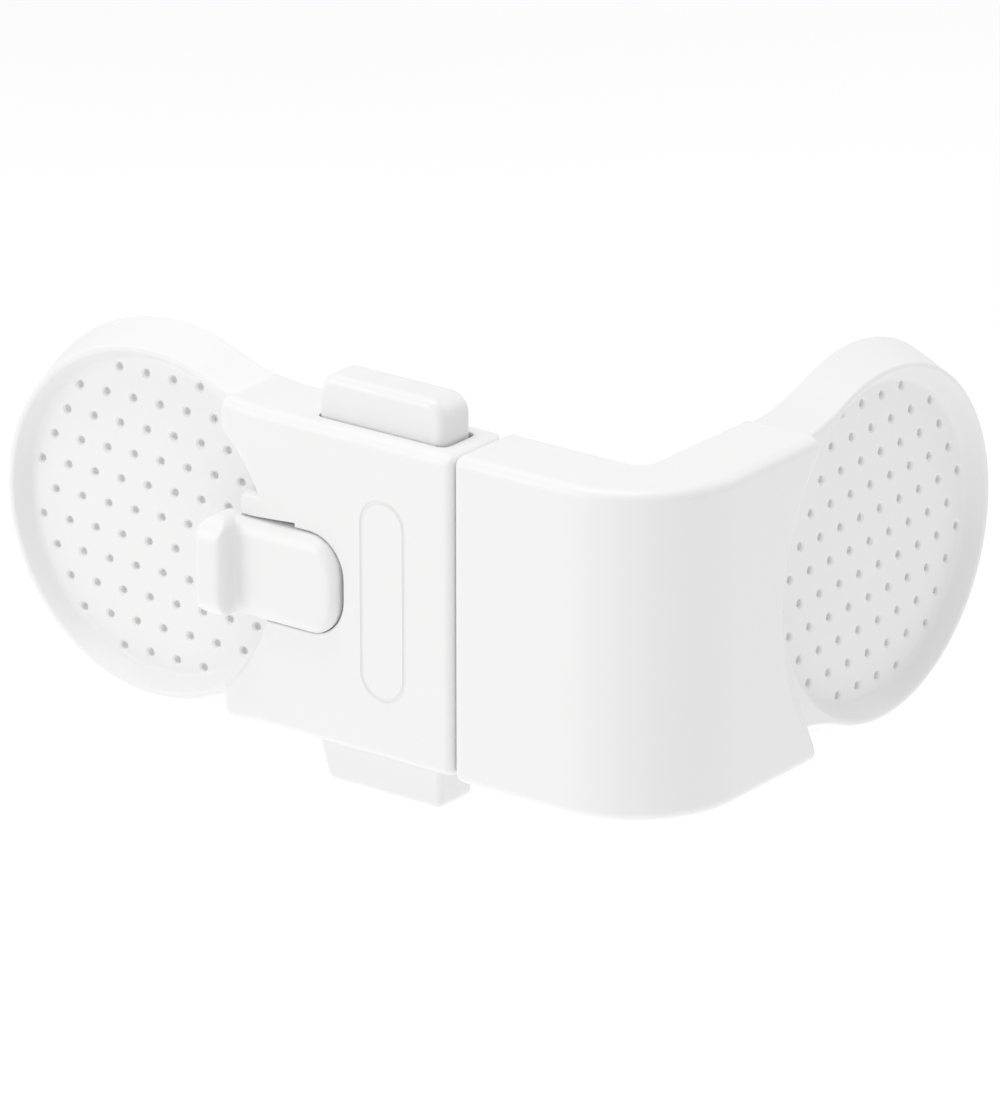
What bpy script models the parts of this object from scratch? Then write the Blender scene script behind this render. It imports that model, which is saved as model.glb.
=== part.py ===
"""Child safety lock for a cabinet corner: a squeeze-button housing and an L-shaped strike arm.

The housing sticks to the cabinet's side. The arm sticks to the drawer or door front round the
corner, and its two-pronged strike fork plugs into the housing's end, where two spring arms with
teeth catch it. Squeezing both buttons bends the teeth clear. The thumb slider, at the right end
of its pocket, holds a pad between the spring arms, so that they can't bend.

Metres, +Z up. The origin is the middle of the housing's adhesive face, +X runs along the
cabinet's side toward its corner, and +Y points into the cabinet.
"""

import math

import bmesh
import bpy
from mathutils import Matrix

MM = 0.001

# Clearances
FIT_GAP = 0.3 * MM
SEAM_GAP = 0.5 * MM
CUT_OVERRUN = 1.0 * MM
JOIN_STEP = 0.02 * MM  # keeps the faces of two joined solids out of one plane

# Round pads, alike on the housing and on the arm
PAD_RADIUS = 24.8 * MM
PAD_DRAFT = 2.2 * MM
PAD_EDGE_ROUND = 0.3 * MM
PAD_STANDOFF = 0.3 * MM
PAD_PLATE = 3.7 * MM
RIM_HEIGHT = 2.4 * MM
RECESS_RADIUS = 20.5 * MM
RECESS_MOUTH_RADIUS = 22.0 * MM
TAPE_RADIUS = 21.0 * MM
TAPE_THICKNESS = 0.7 * MM
DIMPLE_PITCH = 4.25 * MM
DIMPLE_RADIUS = 0.6 * MM
DIMPLE_DEPTH = 0.5 * MM
DIMPLE_FIELD_RADIUS = 19.5 * MM

# Legs: the waist runs from each pad into a rectangular block
LEG_HALF_HEIGHT = 20.55 * MM
WAIST_ROUND = 30.0 * MM
BLOCK_RISE = 6.8 * MM
BLOCK_EDGE_ROUND = 1.3 * MM
WALL = 1.8 * MM
COVER_THICKNESS = 1.7 * MM

# Housing
HOUSING_LENGTH = 50.0 * MM
HOUSING_BLOCK_START = 14.5 * MM
HOUSING_SCOOP_RADIUS = 22.2 * MM
PANEL_HEIGHT = 25.4 * MM
PANEL_WIDTH = 6.4 * MM
PANEL_FROM_END = 10.2 * MM
PANEL_GROOVE = 0.35 * MM

# Arm
CABINET_EDGE = 70.5 * MM
ARM_PAD_DISTANCE = 41.8 * MM
ARM_STEP = 0.35 * MM  # how far the arm stands above and below the housing
ARM_OUTER_ROUND = 14.7 * MM
ARM_INNER_ROUND = 2.5 * MM
ARM_SCOOP_RADIUS = 28.4 * MM
ARM_SCOOP_FOOT_RADIUS = 22.2 * MM
ARM_HOLLOW_LENGTH = 11.4 * MM

# Buttons
BUTTON_LENGTH = 18.1 * MM
BUTTON_PROUD = 5.45 * MM
BUTTON_FROM_END = 3.6 * MM
BUTTON_SETBACK = 2.6 * MM
BUTTON_SLANT = 1.4 * MM
BUTTON_ROUND = 1.1 * MM
BUTTON_TRAVEL = 2.6 * MM
BUTTON_OVERTRAVEL = 0.5 * MM
FLANGE_THICKNESS = 1.5 * MM
FLANGE_REACH = 1.5 * MM

# Latch: prongs of the strike fork, and the spring arms between them
PRONG_INSIDE = 8.0 * MM
PRONG_WIDTH = 4.0 * MM
PRONG_LENGTH = 13.0 * MM
PRONG_CHAMFER = 1.5 * MM
LATCH_THICKNESS = 3.4 * MM
TOOTH_FROM_END = 8.6 * MM
TOOTH_LENGTH = 3.8 * MM
TOOTH_FLAT = 1.2 * MM
LATCH_HEAD_HEIGHT = 3.0 * MM
LATCH_BEAM = 1.3 * MM
ANCHOR_LENGTH = 4.4 * MM
ANCHOR_HEIGHT = 4.2 * MM
ANCHOR_SHOULDER = 1.5 * MM
LEG_WIDTH = 3.5 * MM

# Springs
SPRING_DIAMETER = 3.8 * MM
SPRING_WIRE = 0.45 * MM
SPRING_TURNS = 5
SPRING_FROM_PRONG = 3.0 * MM
SEAT_THICKNESS = 1.2 * MM
SEAT_WIDTH = 4.4 * MM

# Thumb slider and the plate behind it
SLIDER_LENGTH = 18.8 * MM
SLIDER_HALF_HEIGHT = 6.4 * MM
SLIDER_PROUD = 1.4 * MM
SLIDER_FRONT_ROUND = 4.5 * MM
SLIDER_LIP_ROUND = 2.6 * MM
LIP_PROUD = 4.4 * MM
LIP_WIDTH = 3.8 * MM
LIP_FILLET = 1.2 * MM
SLIDER_CROWN = 1.0 * MM
SLIDER_TRAVEL = 5.0 * MM
POCKET_DEPTH = 2.0 * MM
POCKET_FLOOR = 1.4 * MM
POCKET_END_GAP = 0.5 * MM
STEM_LENGTH = 3.6 * MM
STEM_HALF_HEIGHT = 3.0 * MM
LOCK_PLATE_THICKNESS = 1.4 * MM
LOCK_NECK_HALF_HEIGHT = 2.0 * MM
LOCK_PAD_LENGTH = 2.8 * MM

# Fork base in the arm
FORK_BASE_LENGTH = 10.0 * MM
FORK_SCREW_SPACING = 11.0 * MM

# Screws
SCREW_RADIUS = 0.8 * MM
SCREW_HEAD_RADIUS = 1.6 * MM
SCREW_HEAD_HEIGHT = 1.1 * MM
BOSS_RADIUS = 1.7 * MM
SCREW_SIDES = 12
BOSS_GAP = 1.5 * MM
COVER_SCREW_INSET = 3.5 * MM
CROSS_LENGTH = 2.2 * MM
CROSS_WIDTH = 0.4 * MM
CROSS_DEPTH = 0.6 * MM

ARC_SIDES = 56
EMPTY_SIZE = 5.0 * MM

# Depth planes of the housing and of the arm's front leg, from the adhesive face outward
BACK = PAD_STANDOFF
FLOOR = BACK + PAD_PLATE
RIM = FLOOR + RIM_HEIGHT
FRONT = FLOOR + BLOCK_RISE
HOLLOW = FRONT - WALL
COVER = BACK + COVER_THICKNESS
LATCH_BACK = COVER + FIT_GAP
LATCH_FRONT = LATCH_BACK + LATCH_THICKNESS
PUSH_BACK = LATCH_FRONT + FIT_GAP
BUTTON_FRONT = FRONT - BUTTON_SETBACK
PUSH_FRONT = HOLLOW - FIT_GAP
POCKET_BOTTOM = FRONT - POCKET_DEPTH
POCKET_BACK = POCKET_BOTTOM - POCKET_FLOOR

# Places along X
ARM_START = HOUSING_LENGTH + SEAM_GAP
HOLLOW_END = HOUSING_LENGTH - WALL
HOLLOW_RADIUS = HOUSING_SCOOP_RADIUS + WALL
BUTTON_RIGHT = HOUSING_LENGTH - BUTTON_FROM_END
BUTTON_LEFT = BUTTON_RIGHT - BUTTON_LENGTH
TOOTH_LEFT = HOUSING_LENGTH - TOOTH_FROM_END
TOOTH_RIGHT = TOOTH_LEFT + TOOTH_LENGTH
HEAD_LEFT = TOOTH_LEFT - 4 * FIT_GAP
LEG_LEFT = TOOTH_LEFT - 2 * FIT_GAP
SPRING_X = HOUSING_LENGTH - PRONG_LENGTH - SPRING_FROM_PRONG
STEM_LEFT = HOLLOW_RADIUS + FIT_GAP + SLIDER_TRAVEL
STEM_RIGHT = STEM_LEFT + STEM_LENGTH
SLIDER_RIGHT = STEM_RIGHT + FIT_GAP
SLIDER_LEFT = SLIDER_RIGHT - SLIDER_LENGTH
ANCHOR_LEFT = HOLLOW_RADIUS + 2 * FIT_GAP
FORK_BASE_LEFT = ARM_START + WALL + FIT_GAP
FORK_BASE_RIGHT = FORK_BASE_LEFT + FORK_BASE_LENGTH

# Heights from the middle plane
ARM_HALF_HEIGHT = LEG_HALF_HEIGHT + ARM_STEP
HOLLOW_HALF_HEIGHT = LEG_HALF_HEIGHT - WALL
FLANGE_TOP = HOLLOW_HALF_HEIGHT - FIT_GAP
FLANGE_BOTTOM = FLANGE_TOP - FLANGE_THICKNESS
PRONG_OUTSIDE = PRONG_INSIDE + PRONG_WIDTH
LATCH_TOP = PRONG_INSIDE - FIT_GAP
LATCH_BOTTOM = LATCH_TOP - LATCH_HEAD_HEIGHT
TOOTH_TOP = LATCH_TOP + BUTTON_TRAVEL - FIT_GAP - BUTTON_OVERTRAVEL
BEAM_TOP = LATCH_TOP - FIT_GAP
BEAM_BOTTOM = BEAM_TOP - LATCH_BEAM
LOCK_HALF_HEIGHT = LATCH_BOTTOM - FIT_GAP
ANCHOR_TOP = BEAM_TOP + ANCHOR_SHOULDER
ANCHOR_BOTTOM = ANCHOR_TOP - ANCHOR_HEIGHT
SEAT_BOTTOM = ANCHOR_TOP + FIT_GAP
SEAT_TOP = SEAT_BOTTOM + SEAT_THICKNESS

# Screw places: (x, z) for those that lie along Y, (y, z) for those in the arm's side leg
HOUSING_SCREW_X = SPRING_X - SEAT_WIDTH / 2 - BOSS_GAP - BOSS_RADIUS
HOUSING_SCREW_Z = ANCHOR_TOP + 3 * FIT_GAP + BOSS_RADIUS
HOUSING_COVER_SCREWS = (
    (HOUSING_SCREW_X, HOUSING_SCREW_Z),
    (HOUSING_SCREW_X, -HOUSING_SCREW_Z),
    (HOLLOW_END - BOSS_RADIUS - FIT_GAP, 0.0),
)
ARM_SCREW_X = ARM_START + WALL + FIT_GAP + COVER_SCREW_INSET
ARM_SCREW_Y = ARM_HOLLOW_LENGTH - FIT_GAP - COVER_SCREW_INSET
ARM_SCREW_Z = PRONG_OUTSIDE + 3 * FIT_GAP + BOSS_RADIUS
ARM_FRONT_SCREWS = ((ARM_SCREW_X, ARM_SCREW_Z), (ARM_SCREW_X, -ARM_SCREW_Z))
ARM_SIDE_SCREWS = ((ARM_SCREW_Y, ARM_SCREW_Z), (ARM_SCREW_Y, -ARM_SCREW_Z))
FORK_SCREW_X = FORK_BASE_LEFT + FORK_BASE_LENGTH / 2
FORK_SCREW_Z = FORK_SCREW_SPACING / 2
ANCHOR_SCREW_X = ANCHOR_LEFT + ANCHOR_LENGTH / 2
ANCHOR_SCREW_Z = (ANCHOR_TOP + ANCHOR_BOTTOM) / 2
STEM_SCREW_X = (STEM_LEFT + STEM_RIGHT) / 2

# Plane frames: the outline's own X and Y, then the direction that it is extruded in
HOUSING_FRAME = Matrix(((1, 0, 0, 0), (0, 0, -1, 0), (0, 1, 0, 0), (0, 0, 0, 1)))
ARM_PAD_FRAME = Matrix(
    ((0, 0, 1, CABINET_EDGE), (-1, 0, 0, ARM_PAD_DISTANCE), (0, -1, 0, 0), (0, 0, 0, 1))
)
PLAN_FRAME = Matrix.Identity(4)


def clear_scene():
    """Remove everything that the startup file holds."""
    for item in list(bpy.data.objects):
        bpy.data.objects.remove(item, do_unlink=True)
    for block in (bpy.data.meshes, bpy.data.materials, bpy.data.cameras, bpy.data.lights):
        for item in list(block):
            block.remove(item)


def make_collection(name):
    collection = bpy.data.collections.new(name)
    bpy.context.scene.collection.children.link(collection)
    return collection


def make_material(name, colour, roughness, metallic=0.0):
    material = bpy.data.materials.new(name)
    material.use_nodes = True
    shader = material.node_tree.nodes["Principled BSDF"]
    shader.inputs["Base Color"].default_value = (*colour, 1.0)
    shader.inputs["Roughness"].default_value = roughness
    shader.inputs["Metallic"].default_value = metallic
    return material


def add_object(name, mesh, collection):
    item = bpy.data.objects.new(name, mesh)
    collection.objects.link(item)
    return item


def add_cutter(name, mesh):
    """Keep a helper solid out of the object itself."""
    cutter = add_object(name, mesh, CUTTERS)
    cutter.hide_render = True
    cutter.display_type = "WIRE"
    return cutter


def carry(part, parent):
    """Parent a part to its body's empty, and leave the part where it is."""
    part.parent = parent
    part.matrix_parent_inverse = Matrix.Translation(parent.location).inverted()


def add_part(name, mesh, material, parent):
    part = add_object(name, mesh, PARTS)
    carry(part, parent)
    mesh.materials.append(material)
    return part


def add_body(name, location):
    """An empty that carries the pieces which move together."""
    body = bpy.data.objects.new(name, None)
    body.empty_display_size = EMPTY_SIZE
    body.location = location
    PARTS.objects.link(body)
    return body


def finish_mesh(name, shape):
    """Turn a bmesh into a mesh whose faces all point outward."""
    bmesh.ops.recalc_face_normals(shape, faces=shape.faces)
    mesh = bpy.data.meshes.new(name)
    shape.to_mesh(mesh)
    shape.free()
    return mesh


def box_into(shape, x_range, y_range, z_range):
    """Add one box, given the two ends of each side in any order, to a bmesh."""
    ranges = (x_range, y_range, z_range)
    sizes = [abs(high - low) for low, high in ranges]
    middles = [(low + high) / 2 for low, high in ranges]
    matrix = Matrix.Translation(middles) @ Matrix.Diagonal((*sizes, 1.0))
    bmesh.ops.create_cube(shape, size=1.0, matrix=matrix)


def boxes(name, *ranges):
    """One mesh of separate boxes, each given as its X, Y and Z range."""
    shape = bmesh.new()
    for box in ranges:
        box_into(shape, *box)
    return finish_mesh(name, shape)


def rods(name, places, radius, low, high, frame, sides=SCREW_SIDES, tip_radius=None):
    """Separate cylinders or cones at the places of a frame, from depth low to depth high."""
    shape = bmesh.new()
    for across, up in places:
        middle = Matrix.Translation((across, up, (low + high) / 2))
        bmesh.ops.create_cone(
            shape,
            cap_ends=True,
            segments=sides,
            radius1=radius,
            radius2=radius if tip_radius is None else tip_radius,
            depth=high - low,
            matrix=frame @ middle,
        )
    return finish_mesh(name, shape)


def outline_solid(name, points, low, high, frame):
    """Extrude a flat outline of a frame from depth low to depth high."""
    curve = bpy.data.curves.new(name, "CURVE")
    curve.dimensions = "2D"
    curve.fill_mode = "BOTH"
    curve.extrude = (high - low) / 2
    spline = curve.splines.new("POLY")
    spline.points.add(len(points) - 1)
    for point, (across, up) in zip(spline.points, points):
        point.co = (across, up, 0.0, 1.0)
    spline.use_cyclic_u = True
    guide = add_object(name, curve, CUTTERS)
    bpy.context.view_layer.update()
    graph = bpy.context.evaluated_depsgraph_get()
    mesh = bpy.data.meshes.new_from_object(guide.evaluated_get(graph))
    bpy.data.objects.remove(guide, do_unlink=True)
    bpy.data.curves.remove(curve)
    shape = bmesh.new()
    shape.from_mesh(mesh)
    bpy.data.meshes.remove(mesh)
    bmesh.ops.remove_doubles(shape, verts=shape.verts, dist=0.001 * MM)
    flat = math.radians(0.1)
    bmesh.ops.dissolve_limit(shape, angle_limit=flat, verts=shape.verts, edges=shape.edges)
    bmesh.ops.transform(
        shape, matrix=frame @ Matrix.Translation((0, 0, (low + high) / 2)), verts=shape.verts
    )
    return finish_mesh(name, shape)


def turned_mesh(name, profile, frame, sides):
    """Turn a profile of (radius, depth) points, given down its outer side, round a frame's axis."""
    mesh = bpy.data.meshes.new(name + "_profile")
    points = [(radius, 0.0, depth) for radius, depth in profile]
    mesh.from_pydata(points, [(i, i + 1) for i in range(len(points) - 1)], [])
    guide = add_object(name, mesh, CUTTERS)
    screw = guide.modifiers.new("Turn", "SCREW")
    screw.steps = screw.render_steps = sides
    screw.use_merge_vertices = True
    screw.merge_threshold = 0.001 * MM
    bpy.context.view_layer.update()
    graph = bpy.context.evaluated_depsgraph_get()
    turned = bpy.data.meshes.new_from_object(guide.evaluated_get(graph))
    bpy.data.objects.remove(guide, do_unlink=True)
    bpy.data.meshes.remove(mesh)
    shape = bmesh.new()
    shape.from_mesh(turned)
    bpy.data.meshes.remove(turned)
    bmesh.ops.transform(shape, matrix=frame, verts=shape.verts)
    return finish_mesh(name, shape)


def arc(centre, radius, start, end, steps):
    """Points along an arc between two angles in degrees, both ends included."""
    angles = (math.radians(start + (end - start) * i / steps) for i in range(steps + 1))
    return [(centre[0] + radius * math.cos(a), centre[1] + radius * math.sin(a)) for a in angles]


def rounded_box(left, right, bottom, top, left_round, right_round, steps=4):
    """Outline of a box whose left corners and right corners have their own radius."""
    return (
        arc((right - right_round, bottom + right_round), right_round, -90, 0, steps)
        + arc((right - right_round, top - right_round), right_round, 0, 90, steps)
        + arc((left + left_round, top - left_round), left_round, 90, 180, steps)
        + arc((left + left_round, bottom + left_round), left_round, 180, 270, steps)
    )


def mirrored_outline(points):
    """Close an outline given above its middle line by the same points below that line."""
    return points + [(across, -up) for across, up in reversed(points) if abs(up) > 0.001 * MM]


def waist_centre(half_height):
    """Centre of the hollow arc that joins the pad's round edge to a straight edge."""
    up = half_height + WAIST_ROUND
    return math.sqrt((PAD_RADIUS + WAIST_ROUND) ** 2 - up**2), up


def waist_arc(start, half_height, steps=6):
    """The hollow arc from one place along the leg to where it meets the straight edge."""
    centre = waist_centre(half_height)
    if start >= centre[0]:
        return [(start, half_height)]
    angle = -90 - math.degrees(math.asin((centre[0] - start) / WAIST_ROUND))
    return arc(centre, WAIST_ROUND, angle, -90, steps)


def leg_outline(end, half_height):
    """Outline of a pad, its waist and its neck, with the pad's centre at the frame's origin."""
    centre = waist_centre(half_height)
    touch = math.degrees(math.atan2(centre[1], centre[0]))
    steps = round(ARC_SIDES * (180 - touch) / 360)
    pad = arc((0, 0), PAD_RADIUS, 180, touch, steps)
    waist = waist_arc(pad[-1][0], half_height)[1:]
    return mirrored_outline(pad + waist + [(end, half_height)])


def weigh_edges(mesh, chosen, weight=1.0):
    """Mark for Bevel the edges whose two ends both pass the test."""
    name = "bevel_weight_edge"
    layer = mesh.attributes.get(name) or mesh.attributes.new(name, "FLOAT", "EDGE")
    for edge in mesh.edges:
        if all(chosen(mesh.vertices[i].co) for i in edge.vertices):
            layer.data[edge.index].value = weight


def add_bevel(item, width, segments=3, method="WEIGHT"):
    bevel = item.modifiers.new("Rounded edges", "BEVEL")
    bevel.limit_method = method
    bevel.angle_limit = math.radians(35)
    bevel.width = width
    bevel.segments = segments


def combine(item, name, mesh, operation):
    """Join a helper solid to an object, or cut it away."""
    boolean = item.modifiers.new(name, "BOOLEAN")
    boolean.operation = operation
    boolean.solver = "EXACT"
    boolean.object = add_cutter(name, mesh)
    return boolean.object


def join(item, name, mesh):
    return combine(item, name, mesh, "UNION")


def cut(item, name, mesh):
    return combine(item, name, mesh, "DIFFERENCE")


def settle(item):
    """Fix the modifiers' result as the object's mesh, then shade round faces smooth."""
    bpy.context.view_layer.update()
    graph = bpy.context.evaluated_depsgraph_get()
    mesh = bpy.data.meshes.new_from_object(item.evaluated_get(graph))
    item.modifiers.clear()
    item.data = mesh
    mesh.shade_smooth()
    mesh.set_sharp_from_angle(angle=math.radians(30))
    normals = item.modifiers.new("Even shading", "WEIGHTED_NORMAL")
    normals.keep_sharp = True


def near(value, target):
    return abs(value - target) < 0.01 * MM


def dimple_places():
    """Centres of the dimples: rows of even pitch, each row shifted by half a pitch."""
    row_pitch = DIMPLE_PITCH * math.sqrt(3) / 2
    rows = int(DIMPLE_FIELD_RADIUS / row_pitch)
    columns = int(2 * DIMPLE_FIELD_RADIUS / DIMPLE_PITCH) + 1
    places = []
    for row in range(-rows, rows + 1):
        for column in range(-columns, columns + 1):
            place = (column * DIMPLE_PITCH / 2, row * row_pitch)
            if (row + column) % 2 == 0 and math.hypot(*place) <= DIMPLE_FIELD_RADIUS:
                places.append(place)
    return places


def pad_plate_mesh(name, end, frame):
    """The round pad with its waist and neck, up to the rim's height."""
    half_height = LEG_HALF_HEIGHT - JOIN_STEP
    outline = leg_outline(end, half_height)
    mesh = outline_solid(name, outline, BACK + JOIN_STEP, RIM, PLAN_FRAME)
    for vertex in mesh.vertices:
        if near(vertex.co.z, RIM):
            vertex.co.x, vertex.co.y = drafted(vertex.co.x, vertex.co.y, half_height)
    weigh_edges(mesh, lambda co: near(co.z, RIM))
    mesh.transform(frame)
    return mesh


def drafted(across, up, half_height):
    """Where a point of the leg's outline lies on the rim, which is smaller than the foot."""
    if near(math.hypot(across, up), PAD_RADIUS):
        scale = 1 - PAD_DRAFT / PAD_RADIUS
        return across * scale, up * scale
    centre = waist_centre(half_height)
    if across > centre[0]:
        return across, up - math.copysign(PAD_DRAFT, up)
    middle = math.copysign(centre[1], up)
    scale = 1 + PAD_DRAFT / WAIST_ROUND
    return centre[0] + (across - centre[0]) * scale, middle + (up - middle) * scale


def hollow_pad(item, prefix, frame, scoop):
    """Cut the recess with its scoop and dimples, and the shallow seat of the tape behind it."""
    seat = rods(
        prefix + "_tape_seat", [(0, 0)], TAPE_RADIUS + FIT_GAP, BACK - CUT_OVERRUN,
        TAPE_THICKNESS + FIT_GAP, frame, sides=ARC_SIDES
    )
    cut(item, prefix + "_tape_seat", seat)
    above = FRONT + CUT_OVERRUN
    profile = [(0.0, above), (scoop[0][0], above), *scoop]
    profile += [(RECESS_MOUTH_RADIUS, RIM), (RECESS_RADIUS, FLOOR), (0.0, FLOOR)]
    cut(item, prefix + "_recess", turned_mesh(prefix + "_recess", profile, frame, ARC_SIDES))
    overrun = 1.2
    dimples = rods(
        prefix + "_dimples",
        dimple_places(),
        0.0,
        FLOOR - DIMPLE_DEPTH,
        FLOOR + DIMPLE_DEPTH * (overrun - 1),
        frame,
        sides=6,
        tip_radius=DIMPLE_RADIUS * overrun,
    )
    cut(item, prefix + "_dimples", dimples)


def make_tape(name, frame, parent):
    mesh = rods(name, [(0, 0)], TAPE_RADIUS, 0.0, TAPE_THICKNESS, frame, sides=ARC_SIDES)
    return add_part(name, mesh, FOAM, parent)


def screw_mesh(name, length):
    """A countersunk screw along +Z with its head's top at the origin, and a cross in the head."""
    neck = -SCREW_HEAD_HEIGHT
    profile = [
        (0.0, 0.0),
        (SCREW_HEAD_RADIUS, 0.0),
        (SCREW_RADIUS, neck),
        (SCREW_RADIUS, SCREW_RADIUS - length),
        (0.0, -length),
    ]
    mesh = turned_mesh(name, profile, PLAN_FRAME, SCREW_SIDES)
    blank = add_cutter(name + "_blank", mesh)
    reach = CROSS_LENGTH / 2
    half = CROSS_WIDTH / 2
    depth = (-CROSS_DEPTH, CUT_OVERRUN)
    for axis, bar in (("x", ((-reach, reach), (-half, half))), ("y", ((-half, half), (-reach, reach)))):
        cut(blank, f"{name}_slot_{axis}", boxes(name + "_slot", (*bar, depth)))
    bpy.context.view_layer.update()
    graph = bpy.context.evaluated_depsgraph_get()
    finished = bpy.data.meshes.new_from_object(blank.evaluated_get(graph))
    bpy.data.objects.remove(blank, do_unlink=True)
    finished.name = name
    return finished


def place_screw(name, mesh, across, up, depth, frame, parent):
    """Stand a screw in a frame with its head's top at a depth, pointing outward from the cabinet."""
    screw = add_object(name, mesh, PARTS)
    carry(screw, parent)
    turn = Matrix.Rotation(math.pi, 4, "X")
    screw.matrix_basis = frame @ Matrix.Translation((across, up, depth)) @ turn


def screw_holes(item, name, places, depth, frame):
    """Countersunk clearance holes for screws whose heads end flush at a depth."""
    low = depth - CUT_OVERRUN
    shanks = rods(name + "_shanks", places, SCREW_RADIUS + FIT_GAP, low, FRONT, frame)
    cut(item, name + "_shanks", shanks)
    slope = (SCREW_HEAD_RADIUS - SCREW_RADIUS) / SCREW_HEAD_HEIGHT
    mouth = SCREW_HEAD_RADIUS + FIT_GAP
    tip = depth + mouth / slope
    sinks = rods(name + "_sinks", places, mouth + slope * CUT_OVERRUN, low, tip, frame, tip_radius=0.0)
    cut(item, name + "_sinks", sinks)


def screw_posts(item, name, places, low, frame):
    """Round posts that stand on the inside of the front wall."""
    join(item, name, rods(name, places, BOSS_RADIUS, low, HOLLOW + FIT_GAP, frame))


def pilot_holes(item, name, places, low, high, frame):
    """Blind holes that take the screws' shanks."""
    cut(item, name, rods(name, places, SCREW_RADIUS + FIT_GAP, low - CUT_OVERRUN, high, frame))


def hollow_outline(inset=0.0):
    """Inside outline of the housing's block: straight sides, and round the scoop at the left."""
    top = HOLLOW_HALF_HEIGHT - inset
    left = HOUSING_BLOCK_START + WALL + inset
    right = HOLLOW_END - inset
    radius = HOLLOW_RADIUS + inset
    tip = math.degrees(min(math.acos(left / radius), math.asin(top / radius)))
    curve = arc((0, 0), radius, -tip, tip, 20)
    return [(curve[-1][0], top), (right, top), (right, -top), (curve[0][0], -top), *curve]


def make_housing(parent):
    """Outer shell of the housing: the pad plate and the hollow block that holds the latch."""
    block = waist_arc(HOUSING_BLOCK_START, LEG_HALF_HEIGHT) + [(HOUSING_LENGTH, LEG_HALF_HEIGHT)]
    mesh = outline_solid("lock_housing", mirrored_outline(block), BACK, FRONT, HOUSING_FRAME)
    weigh_edges(mesh, lambda co: near(-co.y, FRONT))
    weigh_edges(mesh, lambda co: near(co.x, HOUSING_LENGTH), 0.5)
    housing = add_part("lock_housing", mesh, WHITE, parent)
    add_bevel(housing, BLOCK_EDGE_ROUND)

    neck_end = waist_centre(LEG_HALF_HEIGHT)[0] + CUT_OVERRUN
    plate = join(housing, "housing_pad_plate", pad_plate_mesh("housing_pad_plate", neck_end, HOUSING_FRAME))
    add_bevel(plate, PAD_EDGE_ROUND)

    hollow = outline_solid(
        "housing_hollow", hollow_outline(), BACK - CUT_OVERRUN, HOLLOW, HOUSING_FRAME
    )
    cut(housing, "housing_hollow", hollow)
    join(housing, "housing_pocket_block", pocket_block_mesh())
    join(housing, "housing_seats", seats_mesh())
    screw_posts(housing, "housing_posts", HOUSING_COVER_SCREWS, LATCH_BACK, HOUSING_FRAME)
    hollow_pad(housing, "housing", HOUSING_FRAME, [(HOUSING_SCOOP_RADIUS, FRONT)])
    cut_pocket(housing)
    cut_button_openings(housing)
    cut_prong_slots(housing, "housing_prong_slots", HOLLOW_END, HOUSING_LENGTH)
    cut_panel(housing)
    pilot_holes(
        housing, "housing_cover_pilots", HOUSING_COVER_SCREWS, LATCH_BACK, HOLLOW - FIT_GAP, HOUSING_FRAME
    )
    anchors = [(ANCHOR_SCREW_X, ANCHOR_SCREW_Z), (ANCHOR_SCREW_X, -ANCHOR_SCREW_Z)]
    pilot_holes(housing, "anchor_pilots", anchors, PUSH_BACK, POCKET_BOTTOM - 2 * FIT_GAP, HOUSING_FRAME)
    settle(housing)


def pocket_block_mesh():
    """Walls and floor of the slider's pocket, standing into the hollow."""
    right = SLIDER_RIGHT + POCKET_END_GAP + WALL
    top = SLIDER_HALF_HEIGHT + FIT_GAP + WALL
    pocket = ((HOUSING_SCOOP_RADIUS, right), (-HOLLOW - FIT_GAP, -POCKET_BACK), (-top, top))
    return boxes("housing_pocket_block", pocket)


def seats_mesh():
    """Ribs that carry the button springs, and blocks that the spring arms are screwed to."""
    front = -HOLLOW - FIT_GAP
    ribs = []
    for side in (1, -1):
        seat = (SEAT_BOTTOM * side, SEAT_TOP * side)
        anchor = ((ANCHOR_BOTTOM + FIT_GAP) * side, ANCHOR_TOP * side)
        ribs.append(((SPRING_X - SEAT_WIDTH / 2, SPRING_X + SEAT_WIDTH / 2), (front, -LATCH_BACK), seat))
        ribs.append(((ANCHOR_LEFT, ANCHOR_LEFT + ANCHOR_LENGTH), (front, -PUSH_BACK), anchor))
    return boxes("housing_seats", *ribs)


def cut_pocket(housing):
    """Sink the slider's pocket, open to the scoop, and the slot for its stem."""
    pocket = rounded_box(
        HOUSING_BLOCK_START - CUT_OVERRUN,
        SLIDER_RIGHT + POCKET_END_GAP,
        -SLIDER_HALF_HEIGHT - FIT_GAP,
        SLIDER_HALF_HEIGHT + FIT_GAP,
        FIT_GAP,
        SLIDER_FRONT_ROUND + FIT_GAP,
    )
    cut(
        housing,
        "slider_pocket",
        outline_solid("slider_pocket", pocket, POCKET_BOTTOM, FRONT + CUT_OVERRUN, HOUSING_FRAME),
    )
    half = STEM_HALF_HEIGHT + FIT_GAP
    slot = (
        (STEM_LEFT - SLIDER_TRAVEL - FIT_GAP, STEM_RIGHT + FIT_GAP),
        (-POCKET_BOTTOM - CUT_OVERRUN, -POCKET_BACK + CUT_OVERRUN),
        (-half, half),
    )
    cut(housing, "stem_slot", boxes("stem_slot", slot))


def cut_button_openings(housing):
    """Open the top and bottom walls for the buttons."""
    x_range = (BUTTON_LEFT - FIT_GAP, BUTTON_RIGHT + FIT_GAP)
    y_range = (-BUTTON_FRONT - FIT_GAP, -COVER)
    inside, outside = HOLLOW_HALF_HEIGHT - CUT_OVERRUN, LEG_HALF_HEIGHT + CUT_OVERRUN
    openings = [(x_range, y_range, (inside * side, outside * side)) for side in (1, -1)]
    cut(housing, "button_openings", boxes("button_openings", *openings))


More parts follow.
